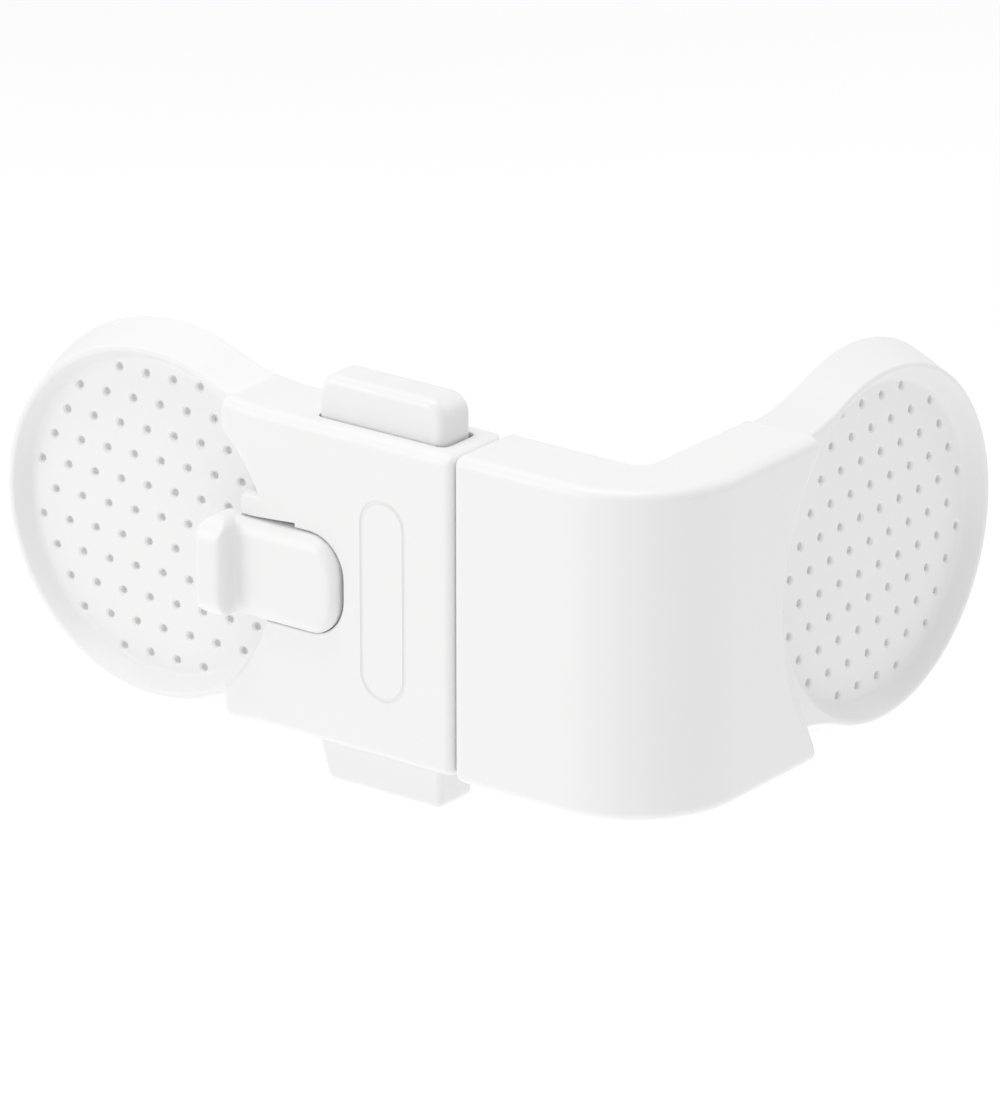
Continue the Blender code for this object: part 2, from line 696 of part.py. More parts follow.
def cut_prong_slots(item, name, inner_x, outer_x):
    """Open an end wall for the two prongs of the strike fork."""
    x_range = (inner_x - CUT_OVERRUN, outer_x + CUT_OVERRUN)
    y_range = (-LATCH_FRONT - FIT_GAP, -LATCH_BACK + FIT_GAP)
    z_range = (PRONG_INSIDE - FIT_GAP, PRONG_OUTSIDE + FIT_GAP)
    slots = [(x_range, y_range, (z_range[0] * side, z_range[1] * side)) for side in (1, -1)]
    cut(item, name, boxes(name, *slots))


def stadium(half_width, half_height, centre):
    """Outline of an upright panel with round ends."""
    rise = half_height - half_width
    return arc((centre, rise), half_width, 0, 180, 12) + arc((centre, -rise), half_width, 180, 360, 12)


def cut_panel(housing):
    """Draw a bare upright panel on the block's front with a fine groove."""
    centre = HOUSING_LENGTH - PANEL_FROM_END
    low, high = FRONT - PANEL_GROOVE, FRONT + CUT_OVERRUN
    width, height = PANEL_WIDTH / 2, PANEL_HEIGHT / 2
    outer = outline_solid("panel_groove", stadium(width, height, centre), low, high, HOUSING_FRAME)
    groove = cut(housing, "panel_groove", outer)
    inner_outline = stadium(width - PANEL_GROOVE, height - PANEL_GROOVE, centre)
    inner = outline_solid(
        "panel_island", inner_outline, low - CUT_OVERRUN, high + CUT_OVERRUN, HOUSING_FRAME
    )
    cut(groove, "panel_island", inner)


def make_housing_cover(parent):
    """Plate that closes the housing from behind, with rails that guide the fork's prongs."""
    mesh = outline_solid(
        "housing_back_cover", hollow_outline(FIT_GAP), BACK, COVER, HOUSING_FRAME
    )
    cover = add_part("housing_back_cover", mesh, WHITE, parent)
    rail_low = PRONG_OUTSIDE + FIT_GAP
    x_range = (HOUSING_LENGTH - PRONG_LENGTH + WALL, HOLLOW_END - 2 * FIT_GAP)
    y_range = (-LATCH_FRONT, -COVER + FIT_GAP)
    rails = [(x_range, y_range, (rail_low * side, (rail_low + SEAT_THICKNESS) * side)) for side in (1, -1)]
    join(cover, "cover_rails", boxes("cover_rails", *rails))
    screw_holes(cover, "housing_cover_holes", HOUSING_COVER_SCREWS, BACK, HOUSING_FRAME)
    settle(cover)


def button_outline(side):
    """Face of a button: its left end slants, and its outer corners are round."""
    top = LEG_HALF_HEIGHT + BUTTON_PROUD
    foot = FLANGE_TOP - FIT_GAP
    points = [(BUTTON_LEFT, foot), (BUTTON_LEFT, LEG_HALF_HEIGHT)]
    points += arc(
        (BUTTON_LEFT + BUTTON_SLANT + BUTTON_ROUND, top - BUTTON_ROUND), BUTTON_ROUND, 165, 90, 4
    )
    points += arc((BUTTON_RIGHT - BUTTON_ROUND, top - BUTTON_ROUND), BUTTON_ROUND, 90, 0, 4)
    points += [(BUTTON_RIGHT, foot)]
    return [(across, up * side) for across, up in points]


def make_button(name, side, parent):
    """A squeeze button: its cap, the flange that keeps it in, and the leg that pushes the latch."""
    mesh = outline_solid(name, button_outline(side), LATCH_BACK, BUTTON_FRONT, HOUSING_FRAME)
    top = LEG_HALF_HEIGHT + CUT_OVERRUN
    weigh_edges(mesh, lambda co: near(-co.y, BUTTON_FRONT) and co.z * side > top)
    weigh_edges(mesh, lambda co: near(-co.y, LATCH_BACK) and co.z * side > top)
    button = add_part(name, mesh, WHITE, parent)
    add_bevel(button, BUTTON_ROUND / 2, segments=2)
    flange = (
        (BUTTON_LEFT - FLANGE_REACH, BUTTON_RIGHT + FLANGE_REACH),
        (-PUSH_FRONT, -LATCH_BACK - FIT_GAP),
        (FLANGE_BOTTOM * side, FLANGE_TOP * side),
    )
    join(button, name + "_flange", boxes(name + "_flange", flange))
    leg = (
        (LEG_LEFT, LEG_LEFT + LEG_WIDTH),
        (-PUSH_FRONT, -PUSH_BACK),
        ((BEAM_TOP + FIT_GAP) * side, (FLANGE_BOTTOM + FIT_GAP) * side),
    )
    join(button, name + "_leg", boxes(name + "_leg", leg))
    settle(button)


def make_latch_arm(name, side, parent):
    """A springy arm, screwed down at its left end, whose tooth catches in the fork's notch."""
    anchor_right = ANCHOR_LEFT + ANCHOR_LENGTH
    points = [
        (ANCHOR_LEFT, ANCHOR_BOTTOM),
        (anchor_right, ANCHOR_BOTTOM),
        (anchor_right, BEAM_BOTTOM),
        (HEAD_LEFT, BEAM_BOTTOM),
        (HEAD_LEFT, LATCH_BOTTOM),
        (TOOTH_RIGHT, LATCH_BOTTOM),
        (TOOTH_RIGHT, (LATCH_TOP + LATCH_BOTTOM) / 2),
        (TOOTH_LEFT + TOOTH_FLAT, TOOTH_TOP),
        (TOOTH_LEFT, TOOTH_TOP),
        (TOOTH_LEFT, LATCH_TOP),
        (HEAD_LEFT, LATCH_TOP),
        (HEAD_LEFT, BEAM_TOP),
        (anchor_right, BEAM_TOP),
        (anchor_right, ANCHOR_TOP),
        (ANCHOR_LEFT, ANCHOR_TOP),
    ]
    outline = [(across, up * side) for across, up in points]
    mesh = outline_solid(name, outline, LATCH_BACK, LATCH_FRONT, HOUSING_FRAME)
    arm = add_part(name, mesh, ACETAL, parent)
    lug = (
        (LEG_LEFT, LEG_LEFT + LEG_WIDTH),
        (-PUSH_FRONT, -LATCH_FRONT + FIT_GAP),
        ((LATCH_BOTTOM + FIT_GAP) * side, BEAM_TOP * side),
    )
    join(arm, name + "_lug", boxes(name + "_lug", lug))
    screw_holes(arm, name + "_hole", [(ANCHOR_SCREW_X, ANCHOR_SCREW_Z * side)], LATCH_BACK, HOUSING_FRAME)
    settle(arm)


def make_spring(name, side, parent):
    """A button's return spring: one helix of round wire, standing on the housing's seat."""
    low = SEAT_TOP + FIT_GAP + SPRING_WIRE / 2
    high = FLANGE_BOTTOM - FIT_GAP - SPRING_WIRE / 2
    radius = (SPRING_DIAMETER - SPRING_WIRE) / 2
    steps = 10 * SPRING_TURNS
    curve = bpy.data.curves.new(name, "CURVE")
    curve.dimensions = "3D"
    curve.bevel_depth = SPRING_WIRE / 2
    curve.bevel_resolution = 1
    curve.use_fill_caps = True
    spline = curve.splines.new("POLY")
    spline.points.add(steps)
    middle = (PUSH_FRONT + LATCH_BACK) / 2
    for i, point in enumerate(spline.points):
        turn = 2 * math.pi * SPRING_TURNS * i / steps
        height = low + (high - low) * i / steps
        point.co = (radius * math.cos(turn), radius * math.sin(turn), height * side, 1.0)
    spring = add_part(name, curve, STEEL, parent)
    spring.location = (SPRING_X, -middle, 0.0)


def make_slider(parent):
    """The thumb slider: a low plate with a raised lip at its left end, and a stem behind it."""
    bottom = -(POCKET_BOTTOM + FIT_GAP)
    plate, lip = -(FRONT + SLIDER_PROUD), -(FRONT + LIP_PROUD)
    wall = SLIDER_LEFT + LIP_WIDTH
    crown = SLIDER_CROWN
    profile = [(SLIDER_LEFT, bottom), (SLIDER_RIGHT, bottom)]
    profile += arc((SLIDER_RIGHT - crown, plate + crown), crown, 0, -90, 4)
    profile += arc((wall + LIP_FILLET, plate - LIP_FILLET), LIP_FILLET, 90, 180, 4)
    profile += arc((wall - crown, lip + crown), crown, 0, -90, 3)
    profile += arc((SLIDER_LEFT + crown, lip + crown), crown, -90, -180, 3)
    half = SLIDER_HALF_HEIGHT
    mesh = outline_solid("thumb_slider", profile, -half - CUT_OVERRUN, half + CUT_OVERRUN, PLAN_FRAME)
    slider = add_part("thumb_slider", mesh, WHITE, parent)
    face = rounded_box(SLIDER_LEFT, SLIDER_RIGHT, -half, half, SLIDER_LIP_ROUND, SLIDER_FRONT_ROUND)
    front = FRONT + LIP_PROUD + CUT_OVERRUN
    combine(
        slider,
        "slider_face",
        outline_solid("slider_face", face, POCKET_BOTTOM, front, HOUSING_FRAME),
        "INTERSECT",
    )
    stem_end = POCKET_BACK - FIT_GAP / 2
    stem = (
        (STEM_LEFT, STEM_RIGHT),
        (-(POCKET_BOTTOM + 2 * FIT_GAP), -stem_end),
        (-STEM_HALF_HEIGHT, STEM_HALF_HEIGHT),
    )
    join(slider, "slider_stem", boxes("slider_stem", stem))
    pilot_holes(slider, "slider_pilot", [(STEM_SCREW_X, 0.0)], stem_end, FRONT, HOUSING_FRAME)
    settle(slider)


def lock_plate_front():
    """Depth of the lock plate's front face, behind the slider's stem."""
    return POCKET_BACK - FIT_GAP / 2 - FIT_GAP


def make_lock_plate(parent):
    """Plate on the slider's stem, with the pad that fills the space between the latch heads."""
    front = lock_plate_front()
    pad_left = TOOTH_LEFT - FIT_GAP
    half = LOCK_HALF_HEIGHT
    neck = LOCK_NECK_HALF_HEIGHT
    carriage_right = STEM_RIGHT + WALL
    points = [(STEM_LEFT, half), (carriage_right, half), (carriage_right, neck), (pad_left, neck)]
    points += [(pad_left, half), (pad_left + LOCK_PAD_LENGTH, half)]
    mesh = outline_solid(
        "lock_plate", mirrored_outline(points), front - LOCK_PLATE_THICKNESS, front, HOUSING_FRAME
    )
    plate = add_part("lock_plate", mesh, ACETAL, parent)
    pad = (
        (pad_left, pad_left + LOCK_PAD_LENGTH),
        (-front + LOCK_PLATE_THICKNESS - FIT_GAP, -LATCH_BACK - FIT_GAP),
        (-half, half),
    )
    join(plate, "lock_pad", boxes("lock_pad", pad))
    back = front - LOCK_PLATE_THICKNESS
    low, high = back - CUT_OVERRUN, front + CUT_OVERRUN
    shank = rods(
        "lock_plate_hole", [(STEM_SCREW_X, 0.0)], SCREW_RADIUS + FIT_GAP, low, high, HOUSING_FRAME
    )
    cut(plate, "lock_plate_hole", shank)
    settle(plate)


def corner(outer, inner, round_radius, steps):
    """Arc round the arm's corner, between a front plane and a side plane."""
    return arc((outer - round_radius, inner + round_radius), round_radius, -90, 0, steps)


def make_arm(parent):
    """The L-shaped arm: a hollow front leg and corner, and the side leg with its pad."""
    side = CABINET_EDGE + FRONT
    end = ARM_PAD_DISTANCE - waist_centre(LEG_HALF_HEIGHT)[0]
    inside = CABINET_EDGE + BACK
    outline = [(ARM_START, -FRONT)]
    outline += corner(side, -FRONT, ARM_OUTER_ROUND, 12)
    outline += [(side, end), (inside, end)]
    outline += reversed(corner(inside, -BACK, ARM_INNER_ROUND, 4))
    outline += [(ARM_START, -BACK)]
    mesh = outline_solid("strike_arm", outline, -ARM_HALF_HEIGHT, ARM_HALF_HEIGHT, PLAN_FRAME)
    weigh_edges(mesh, lambda co: near(abs(co.z), ARM_HALF_HEIGHT) and is_outside(co))
    weigh_edges(mesh, lambda co: near(co.x, ARM_START), 0.5)
    arm = add_part("strike_arm", mesh, WHITE, parent)
    add_bevel(arm, BLOCK_EDGE_ROUND)

    neck_end = ARM_PAD_DISTANCE - end + 2 * WALL
    plate = join(arm, "arm_pad_plate", pad_plate_mesh("arm_pad_plate", neck_end, ARM_PAD_FRAME))
    add_bevel(plate, PAD_EDGE_ROUND)
    cut(arm, "arm_hollow", arm_hollow_mesh())
    screw_posts(arm, "arm_front_posts", ARM_FRONT_SCREWS, COVER + FIT_GAP, HOUSING_FRAME)
    screw_posts(arm, "arm_side_posts", side_places(), COVER + FIT_GAP, ARM_PAD_FRAME)
    screw_posts(arm, "fork_posts", fork_places(), LATCH_FRONT + FIT_GAP, HOUSING_FRAME)
    scoop = [(ARM_SCOOP_RADIUS, FRONT), (ARM_SCOOP_FOOT_RADIUS, RIM)]
    hollow_pad(arm, "arm", ARM_PAD_FRAME, scoop)
    cut_prong_slots(arm, "arm_prong_slots", ARM_START, ARM_START + WALL)
    deep = HOLLOW - FIT_GAP
    pilot_holes(arm, "arm_front_pilots", ARM_FRONT_SCREWS, COVER + FIT_GAP, deep, HOUSING_FRAME)
    pilot_holes(arm, "arm_side_pilots", side_places(), COVER + FIT_GAP, deep, ARM_PAD_FRAME)
    pilot_holes(arm, "fork_pilots", fork_places(), LATCH_FRONT + FIT_GAP, deep, HOUSING_FRAME)
    settle(arm)


def is_outside(co):
    """Whether a point of the arm's edge lies on its outer faces, and not on its inner ones."""
    inner_reach = FRONT / 2
    return co.y < -inner_reach or co.x > CABINET_EDGE + inner_reach


def side_places():
    """Screw places of the arm's side leg, in the frame of its pad."""
    return [(ARM_PAD_DISTANCE - y, -z) for y, z in ARM_SIDE_SCREWS]


def fork_places():
    return [(FORK_SCREW_X, FORK_SCREW_Z), (FORK_SCREW_X, -FORK_SCREW_Z)]


def arm_hollow_mesh():
    """Space inside the front leg and the corner, open to the cabinet's side."""
    side = CABINET_EDGE + HOLLOW
    inside = CABINET_EDGE + BACK - CUT_OVERRUN
    outline = [(ARM_START + WALL, -HOLLOW)]
    outline += corner(side, -HOLLOW, ARM_OUTER_ROUND - WALL, 12)
    outline += [(side, ARM_HOLLOW_LENGTH), (inside, ARM_HOLLOW_LENGTH), (inside, -BACK + CUT_OVERRUN)]
    outline += [(ARM_START + WALL, -BACK + CUT_OVERRUN)]
    return outline_solid("arm_hollow", outline, -HOLLOW_HALF_HEIGHT, HOLLOW_HALF_HEIGHT, PLAN_FRAME)


def make_arm_cover(parent):
    """L-shaped plate that closes the arm's hollow on the inside of its corner."""
    near_face = CABINET_EDGE + BACK
    far_face = CABINET_EDGE + COVER
    left = ARM_START + WALL + FIT_GAP
    end = ARM_HOLLOW_LENGTH - FIT_GAP
    outline = [(left, -BACK)]
    outline += corner(near_face, -BACK, ARM_INNER_ROUND, 5)
    outline += [(near_face, end), (far_face, end)]
    outline += reversed(corner(far_face, -COVER, ARM_INNER_ROUND + COVER_THICKNESS, 5))
    outline += [(left, -COVER)]
    half = HOLLOW_HALF_HEIGHT - FIT_GAP
    mesh = outline_solid("arm_inner_cover", outline, -half, half, PLAN_FRAME)
    cover = add_part("arm_inner_cover", mesh, WHITE, parent)
    screw_holes(cover, "arm_front_holes", ARM_FRONT_SCREWS, BACK, HOUSING_FRAME)
    screw_holes(cover, "arm_side_holes", side_places(), BACK, ARM_PAD_FRAME)
    settle(cover)


def make_fork(parent):
    """The strike: a base inside the arm, and two notched prongs that reach into the housing."""
    tip = HOUSING_LENGTH - PRONG_LENGTH
    notch_left, notch_right = TOOTH_LEFT - FIT_GAP, TOOTH_RIGHT + FIT_GAP
    notch_top = TOOTH_TOP + FIT_GAP
    points = [
        (FORK_BASE_LEFT, PRONG_INSIDE),
        (notch_right, PRONG_INSIDE),
        (notch_right, notch_top),
        (notch_left, notch_top),
        (notch_left, PRONG_INSIDE),
        (tip + PRONG_CHAMFER, PRONG_INSIDE),
        (tip, PRONG_INSIDE + PRONG_CHAMFER),
        (tip, PRONG_OUTSIDE),
        (FORK_BASE_RIGHT, PRONG_OUTSIDE),
    ]
    outline = mirrored_outline(points)
    mesh = outline_solid("strike_fork", outline, LATCH_BACK, LATCH_FRONT, HOUSING_FRAME)
    fork = add_part("strike_fork", mesh, ACETAL, parent)
    screw_holes(fork, "fork_holes", fork_places(), LATCH_BACK, HOUSING_FRAME)
    settle(fork)


def place_screws(housing, slider, arm):
    """Every screw, each in its own place with its head toward the cabinet."""
    cover_screw = screw_mesh("cover_screw_mesh", HOLLOW - BACK - 3 * FIT_GAP)
    for number, (x, z) in enumerate(HOUSING_COVER_SCREWS, 1):
        place_screw(f"housing_cover_screw_{number}", cover_screw, x, z, BACK, HOUSING_FRAME, housing)
    for number, (x, z) in enumerate(ARM_FRONT_SCREWS, 1):
        place_screw(f"arm_cover_screw_{number}", cover_screw, x, z, BACK, HOUSING_FRAME, arm)
    for number, (across, up) in enumerate(side_places(), 3):
        place_screw(f"arm_cover_screw_{number}", cover_screw, across, up, BACK, ARM_PAD_FRAME, arm)

    fork_screw = screw_mesh("fork_screw_mesh", HOLLOW - LATCH_BACK - 3 * FIT_GAP)
    for number, (x, z) in enumerate(fork_places(), 1):
        place_screw(f"fork_screw_{number}", fork_screw, x, z, LATCH_BACK, HOUSING_FRAME, arm)

    anchor_screw = screw_mesh("latch_screw_mesh", POCKET_BOTTOM - LATCH_BACK - 4 * FIT_GAP)
    for name, side in SIDES:
        place_screw(
            f"{name}_latch_screw", anchor_screw, ANCHOR_SCREW_X, ANCHOR_SCREW_Z * side, LATCH_BACK,
            HOUSING_FRAME, housing
        )

    head = lock_plate_front() - LOCK_PLATE_THICKNESS - FIT_GAP - SCREW_HEAD_HEIGHT
    slider_screw = screw_mesh("slider_screw_mesh", FRONT - head - FIT_GAP)
    place_screw("slider_screw", slider_screw, STEM_SCREW_X, 0.0, head, HOUSING_FRAME, slider)


clear_scene()
PARTS = make_collection("Child safety lock")
CUTTERS = make_collection("Cutters")
WHITE = make_material("White gloss ABS", (0.86, 0.86, 0.85), 0.28)
ACETAL = make_material("Natural acetal", (0.80, 0.78, 0.72), 0.4)
STEEL = make_material("Zinc-plated steel", (0.62, 0.63, 0.65), 0.3, 1.0)
FOAM = make_material("White foam tape", (0.74, 0.74, 0.72), 0.9)
SIDES = (("top", 1), ("bottom", -1))


def main():
    housing = add_body("housing_body", (0.0, 0.0, 0.0))
    arm = add_body("arm_body", (ARM_START, -LATCH_BACK, 0.0))
    slider = add_body("slider_body", (STEM_SCREW_X, -POCKET_BOTTOM, 0.0))
    make_housing(housing)
    make_housing_cover(housing)
    make_tape("housing_tape", HOUSING_FRAME, housing)
    for name, side in SIDES:
        button = add_body(f"{name}_button_body", (SPRING_X, -BUTTON_FRONT, FLANGE_BOTTOM * side))
        make_button(f"{name}_button", side, button)
        make_latch_arm(f"{name}_latch_arm", side, housing)
        make_spring(f"{name}_button_spring", side, housing)
    make_slider(slider)
    make_lock_plate(slider)
    make_arm(arm)
    make_arm_cover(arm)
    make_fork(arm)
    make_tape("arm_tape", ARM_PAD_FRAME, arm)
    place_screws(housing, slider, arm)
    bpy.context.view_layer.update()


main()
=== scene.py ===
"""Looks of a child safety lock for a cabinet corner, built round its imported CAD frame.

The left half is the latch housing, with a round dimpled pad, a squeeze button above and below and a
thumb slider. The right half is the L-shaped strike arm with a like pad on its side leg. Everything
is in metres, +Z up, with the housing's adhesive face on the XZ plane.
"""

import logging
import math
from collections.abc import Callable, Sequence
from dataclasses import dataclass
from enum import Enum
from typing import Any

import bmesh
import bpy
from mathutils import Matrix, Vector


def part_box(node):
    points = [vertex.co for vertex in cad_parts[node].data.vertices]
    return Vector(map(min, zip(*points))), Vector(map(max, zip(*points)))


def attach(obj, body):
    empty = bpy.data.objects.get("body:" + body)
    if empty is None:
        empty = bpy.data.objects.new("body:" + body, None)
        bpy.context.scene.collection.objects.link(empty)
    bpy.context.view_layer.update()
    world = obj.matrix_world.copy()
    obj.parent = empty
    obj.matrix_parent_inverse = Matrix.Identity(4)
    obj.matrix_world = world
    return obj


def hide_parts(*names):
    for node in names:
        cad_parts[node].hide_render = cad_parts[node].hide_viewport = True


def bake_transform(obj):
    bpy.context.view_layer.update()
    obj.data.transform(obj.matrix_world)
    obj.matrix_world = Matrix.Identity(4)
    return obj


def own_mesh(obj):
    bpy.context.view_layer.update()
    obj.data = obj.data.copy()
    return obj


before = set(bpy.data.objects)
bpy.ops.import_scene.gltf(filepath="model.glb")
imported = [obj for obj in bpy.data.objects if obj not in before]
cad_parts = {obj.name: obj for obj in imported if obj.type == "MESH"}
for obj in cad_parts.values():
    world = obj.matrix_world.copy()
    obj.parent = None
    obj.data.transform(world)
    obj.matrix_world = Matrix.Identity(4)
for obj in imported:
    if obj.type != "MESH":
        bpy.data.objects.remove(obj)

LOG = logging.getLogger("child_safety_lock")

MM = 0.001
MERGE = 0.0005 * MM
CAD_MERGE = 0.002 * MM
SHARP_ANGLE = math.radians(35)
FIT_GAP = 0.3 * MM
OVERRUN = 1.0 * MM
JOIN_STEP = 0.02 * MM

WALL = 1.8 * MM
SHELL_HALF_HEIGHT = 20.55 * MM
CABINET_EDGE = 70.5 * MM
ARM_PAD_DISTANCE = 41.8 * MM
PRONG_SLOT = (7.7 * MM, 12.3 * MM)
PRONG_DEPTH = (2.0 * MM, 6.0 * MM)
POST_RADIUS = 1.7 * MM
POST_ENDS = (2.3 * MM, 9.3 * MM)
PILOT_RADIUS = 1.1 * MM
PILOT_STOP = 0.6 * MM

Point = tuple[float, float]
Step = tuple[float, float]
Solid = bmesh.types.BMesh
Tree = bpy.types.NodeTree
Node = bpy.types.Node
Socket = bpy.types.NodeSocket


class Place(Enum):
    """Where a form drawn flat stands: its own X and Y, then the way that it is thick."""

    PLAN = Matrix.Identity(4)
    HOUSING = Matrix(((1, 0, 0, 0), (0, 0, -1, 0), (0, 1, 0, 0), (0, 0, 0, 1)))
    ARM_PAD = Matrix(((0, 0, 1, CABINET_EDGE), (-1, 0, 0, ARM_PAD_DISTANCE), (0, -1, 0, 0), (0, 0, 0, 1)))


class Side(Enum):
    """Upper and lower half of the housing, each with its own squeeze button."""

    TOP = 1
    BOTTOM = -1

    @property
    def label(self) -> str:
        """Word that starts the names of this side's pieces."""
        return self.name.lower()


# Drawing and solid forms


class Outline:
    """A flat chain of edges, drawn in the XY plane of its own bmesh by strokes and arcs."""

    def __init__(self, start: Point) -> None:
        """Put the pen down.

        Args:
            start: Where the first vertex lies.
        """
        self.shape = bmesh.new()
        self.tip = self.shape.verts.new((*start, 0.0))

    def line(self, *points: Point) -> "Outline":
        """Draw straight strokes.

        Args:
            points: The end of each stroke, in order.

        Returns:
            The outline itself, for the next stroke.
        """
        for point in points:
            grown = bmesh.ops.extrude_vert_indiv(self.shape, verts=[self.tip])
            self.tip = grown["verts"][0]
            self.tip.co = (*point, 0.0)
        return self

    def arc(self, centre: Point, degrees: float, steps: int) -> "Outline":
        """Draw an arc from the pen's place.

        Args:
            centre: Centre of the arc.
            degrees: How far it turns, positive against the clock.
            steps: Number of edges in it.

        Returns:
            The outline itself, for the next stroke.
        """
        grown = bmesh.ops.spin(
            self.shape,
            geom=[self.tip],
            cent=(*centre, 0.0),
            axis=(0.0, 0.0, 1.0),
            angle=math.radians(degrees),
            steps=steps,
        )
        self.tip = next(g for g in grown["geom_last"] if isinstance(g, bmesh.types.BMVert))
        return self

    def face(self) -> bmesh.types.BMFace:
        """Close the chain and fill it.

        Returns:
            One face that looks along +Z.
        """
        bmesh.ops.remove_doubles(self.shape, verts=self.shape.verts, dist=MERGE)
        ends = [vert for vert in self.shape.verts if len(vert.link_edges) == 1]
        if ends:
            self.shape.edges.new(ends)
        filled = bmesh.ops.contextual_create(self.shape, geom=self.shape.edges[:])
        face = filled["faces"][0]
        face.normal_update()
        if face.normal.z < 0:
            face.normal_flip()
        return face


def rounded_box(low: Point, high: Point, left_round: float, right_round: float, steps: int = 12) -> Outline:
    """Draw a box whose left corners and right corners have their own radius.

    Args:
        low: Lower left corner.
        high: Upper right corner.
        left_round: Radius of the two left corners.
        right_round: Radius of the two right corners.
        steps: Edges in each corner.

    Returns:
        The outline, not yet closed.
    """
    (left, bottom), (right, top) = low, high
    return (
        Outline((left + left_round, bottom))
        .line((right - right_round, bottom))
        .arc((right - right_round, bottom + right_round), 90, steps)
        .line((right, top - right_round))
        .arc((right - right_round, top - right_round), 90, steps)
        .line((left + left_round, top))
        .arc((left + left_round, top - left_round), 90, steps)
        .line((left, bottom + left_round))
        .arc((left + left_round, bottom + left_round), 90, steps)
    )


def round_over(radius: float, steps: int = 6, spread: float | None = None) -> list[Step]:
    """Inset steps that take an upright side over a quarter circle or ellipse onto a flat face.

    Args:
        radius: Height of the rounded edge.
        steps: Number of steps.
        spread: Its width, if that isn't the same.

    Returns:
        Pairs of inset and rise.
    """
    width = radius if spread is None else spread
    angles = [math.pi / 2 * i / steps for i in range(steps + 1)]
    points = [(width * (1 - math.cos(a)), radius * math.sin(a)) for a in angles]
    return steps_between(points)


def steps_between(points: Sequence[Point]) -> list[Step]:
    """Differences between points in a row."""
    return [(b[0] - a[0], b[1] - a[1]) for a, b in zip(points, points[1:])]


def flared_mouth(roll: float, reach: float = 0.1 * MM, steps: int = 4) -> tuple[float, float, list[Step]]:
    """Soft mouth of a cut into a flat face.

    Args:
        roll: Radius of the mouth's edge.
        reach: How far the cutter goes on past the edge, in line with it.
        steps: Number of steps round the edge.

    Returns:
        How far the cutter's rim spreads, how far it stands above the face, and its steps down.
    """
    start = math.radians(80)
    angles = [start * (1 - i / steps) for i in range(steps + 1)]
    curve = [(roll * (1 - math.cos(a)), roll * (math.sin(a) - 1)) for a in angles]
    spread, height = curve[0]
    rim = (spread + reach, height + reach / math.tan(start))
    down = [(rim[0] - x, rim[1] - y) for x, y in [rim, *curve]]
    return rim[0], rim[1], steps_between(down)


def step_face(shape: Solid, face: bmesh.types.BMFace, steps: Sequence[Step]) -> None:
    """Raise a face along its normal while it shrinks evenly from its edge.

    Args:
        shape: The bmesh that holds the face.
        face: Flat face that moves.
        steps: Pairs of inset and rise.
    """
    for inset, rise in steps:
        bmesh.ops.inset_region(
            shape,
            faces=[face],
            use_boundary=True,
            use_even_offset=True,
            thickness=inset,
            depth=rise,
        )


def slab(outline: Outline, low: float, up: Sequence[Step], down: Sequence[Step] = ()) -> Solid:
    """Turn a flat outline into a closed solid.

    Args:
        outline: The widest outline of the solid.
        low: Depth at which that outline lies.
        up: Inset steps from there to the upper face.
        down: Inset steps from there to the lower face.

    Returns:
        The closed solid.
    """
    shape = outline.shape
    face = outline.face()
    bmesh.ops.translate(shape, verts=shape.verts, vec=(0.0, 0.0, low))
    step_face(shape, face, up)
    rim = [edge for edge in shape.edges if edge.is_boundary]
    under = bmesh.ops.contextual_create(shape, geom=rim)["faces"][0]
    bmesh.ops.recalc_face_normals(shape, faces=shape.faces)
    step_face(shape, under, down)
    return shape


def plain_slab(outline: Outline, low: float, high: float) -> Solid:
    """A slab with upright sides between two depths."""
    return slab(outline, low, [(0.0, high - low)])


def turned(profile: Outline, sides: int) -> Solid:
    """Spin a profile of (radius, depth) points, drawn from the axis to the axis, into a solid.

    Args:
        profile: The chain of edges on one side of the axis.
        sides: Number of steps round the axis.

    Returns:
        The closed solid, with its axis along Z.
    """
    shape = profile.shape
    bmesh.ops.spin(
        shape,
        geom=shape.verts[:] + shape.edges[:],
        cent=(0.0, 0.0, 0.0),
        axis=(0.0, 1.0, 0.0),
        angle=math.tau,
        steps=sides,
        use_merge=True,
    )
    bmesh.ops.remove_doubles(shape, verts=shape.verts, dist=MERGE)
    flat = math.radians(0.05)
    bmesh.ops.dissolve_limit(shape, angle_limit=flat, verts=shape.verts, edges=shape.edges)
    bmesh.ops.transform(shape, matrix=Matrix.Rotation(math.pi / 2, 4, "X"), verts=shape.verts)
    bmesh.ops.recalc_face_normals(shape, faces=shape.faces)
    return shape


def box(*ranges: tuple[float, float]) -> Solid:
    """A box.

    Args:
        ranges: The two ends of its X, Y and Z side, in any order.

    Returns:
        The closed solid.
    """
    shape = bmesh.new()
    sizes = [abs(high - low) for low, high in ranges]
    middle = [(low + high) / 2 for low, high in ranges]
    matrix = Matrix.Translation(middle) @ Matrix.Diagonal((*sizes, 1.0))
    bmesh.ops.create_cube(shape, size=1.0, matrix=matrix)
    return shape


def rod(place: Point, radius: float, low: float, high: float, sides: int = 32) -> Solid:
    """A round rod along Z.

    Args:
        place: Where its axis stands.
        radius: Its radius.
        low: Lower end.
        high: Upper end.
        sides: Number of sides.

    Returns:
        The closed solid.
    """
    shape = bmesh.new()
    bmesh.ops.create_cone(
        shape,
        cap_ends=True,
        segments=sides,
        radius1=radius,
        radius2=radius,
        depth=high - low,
        matrix=Matrix.Translation((*place, (low + high) / 2)),
    )
    return shape


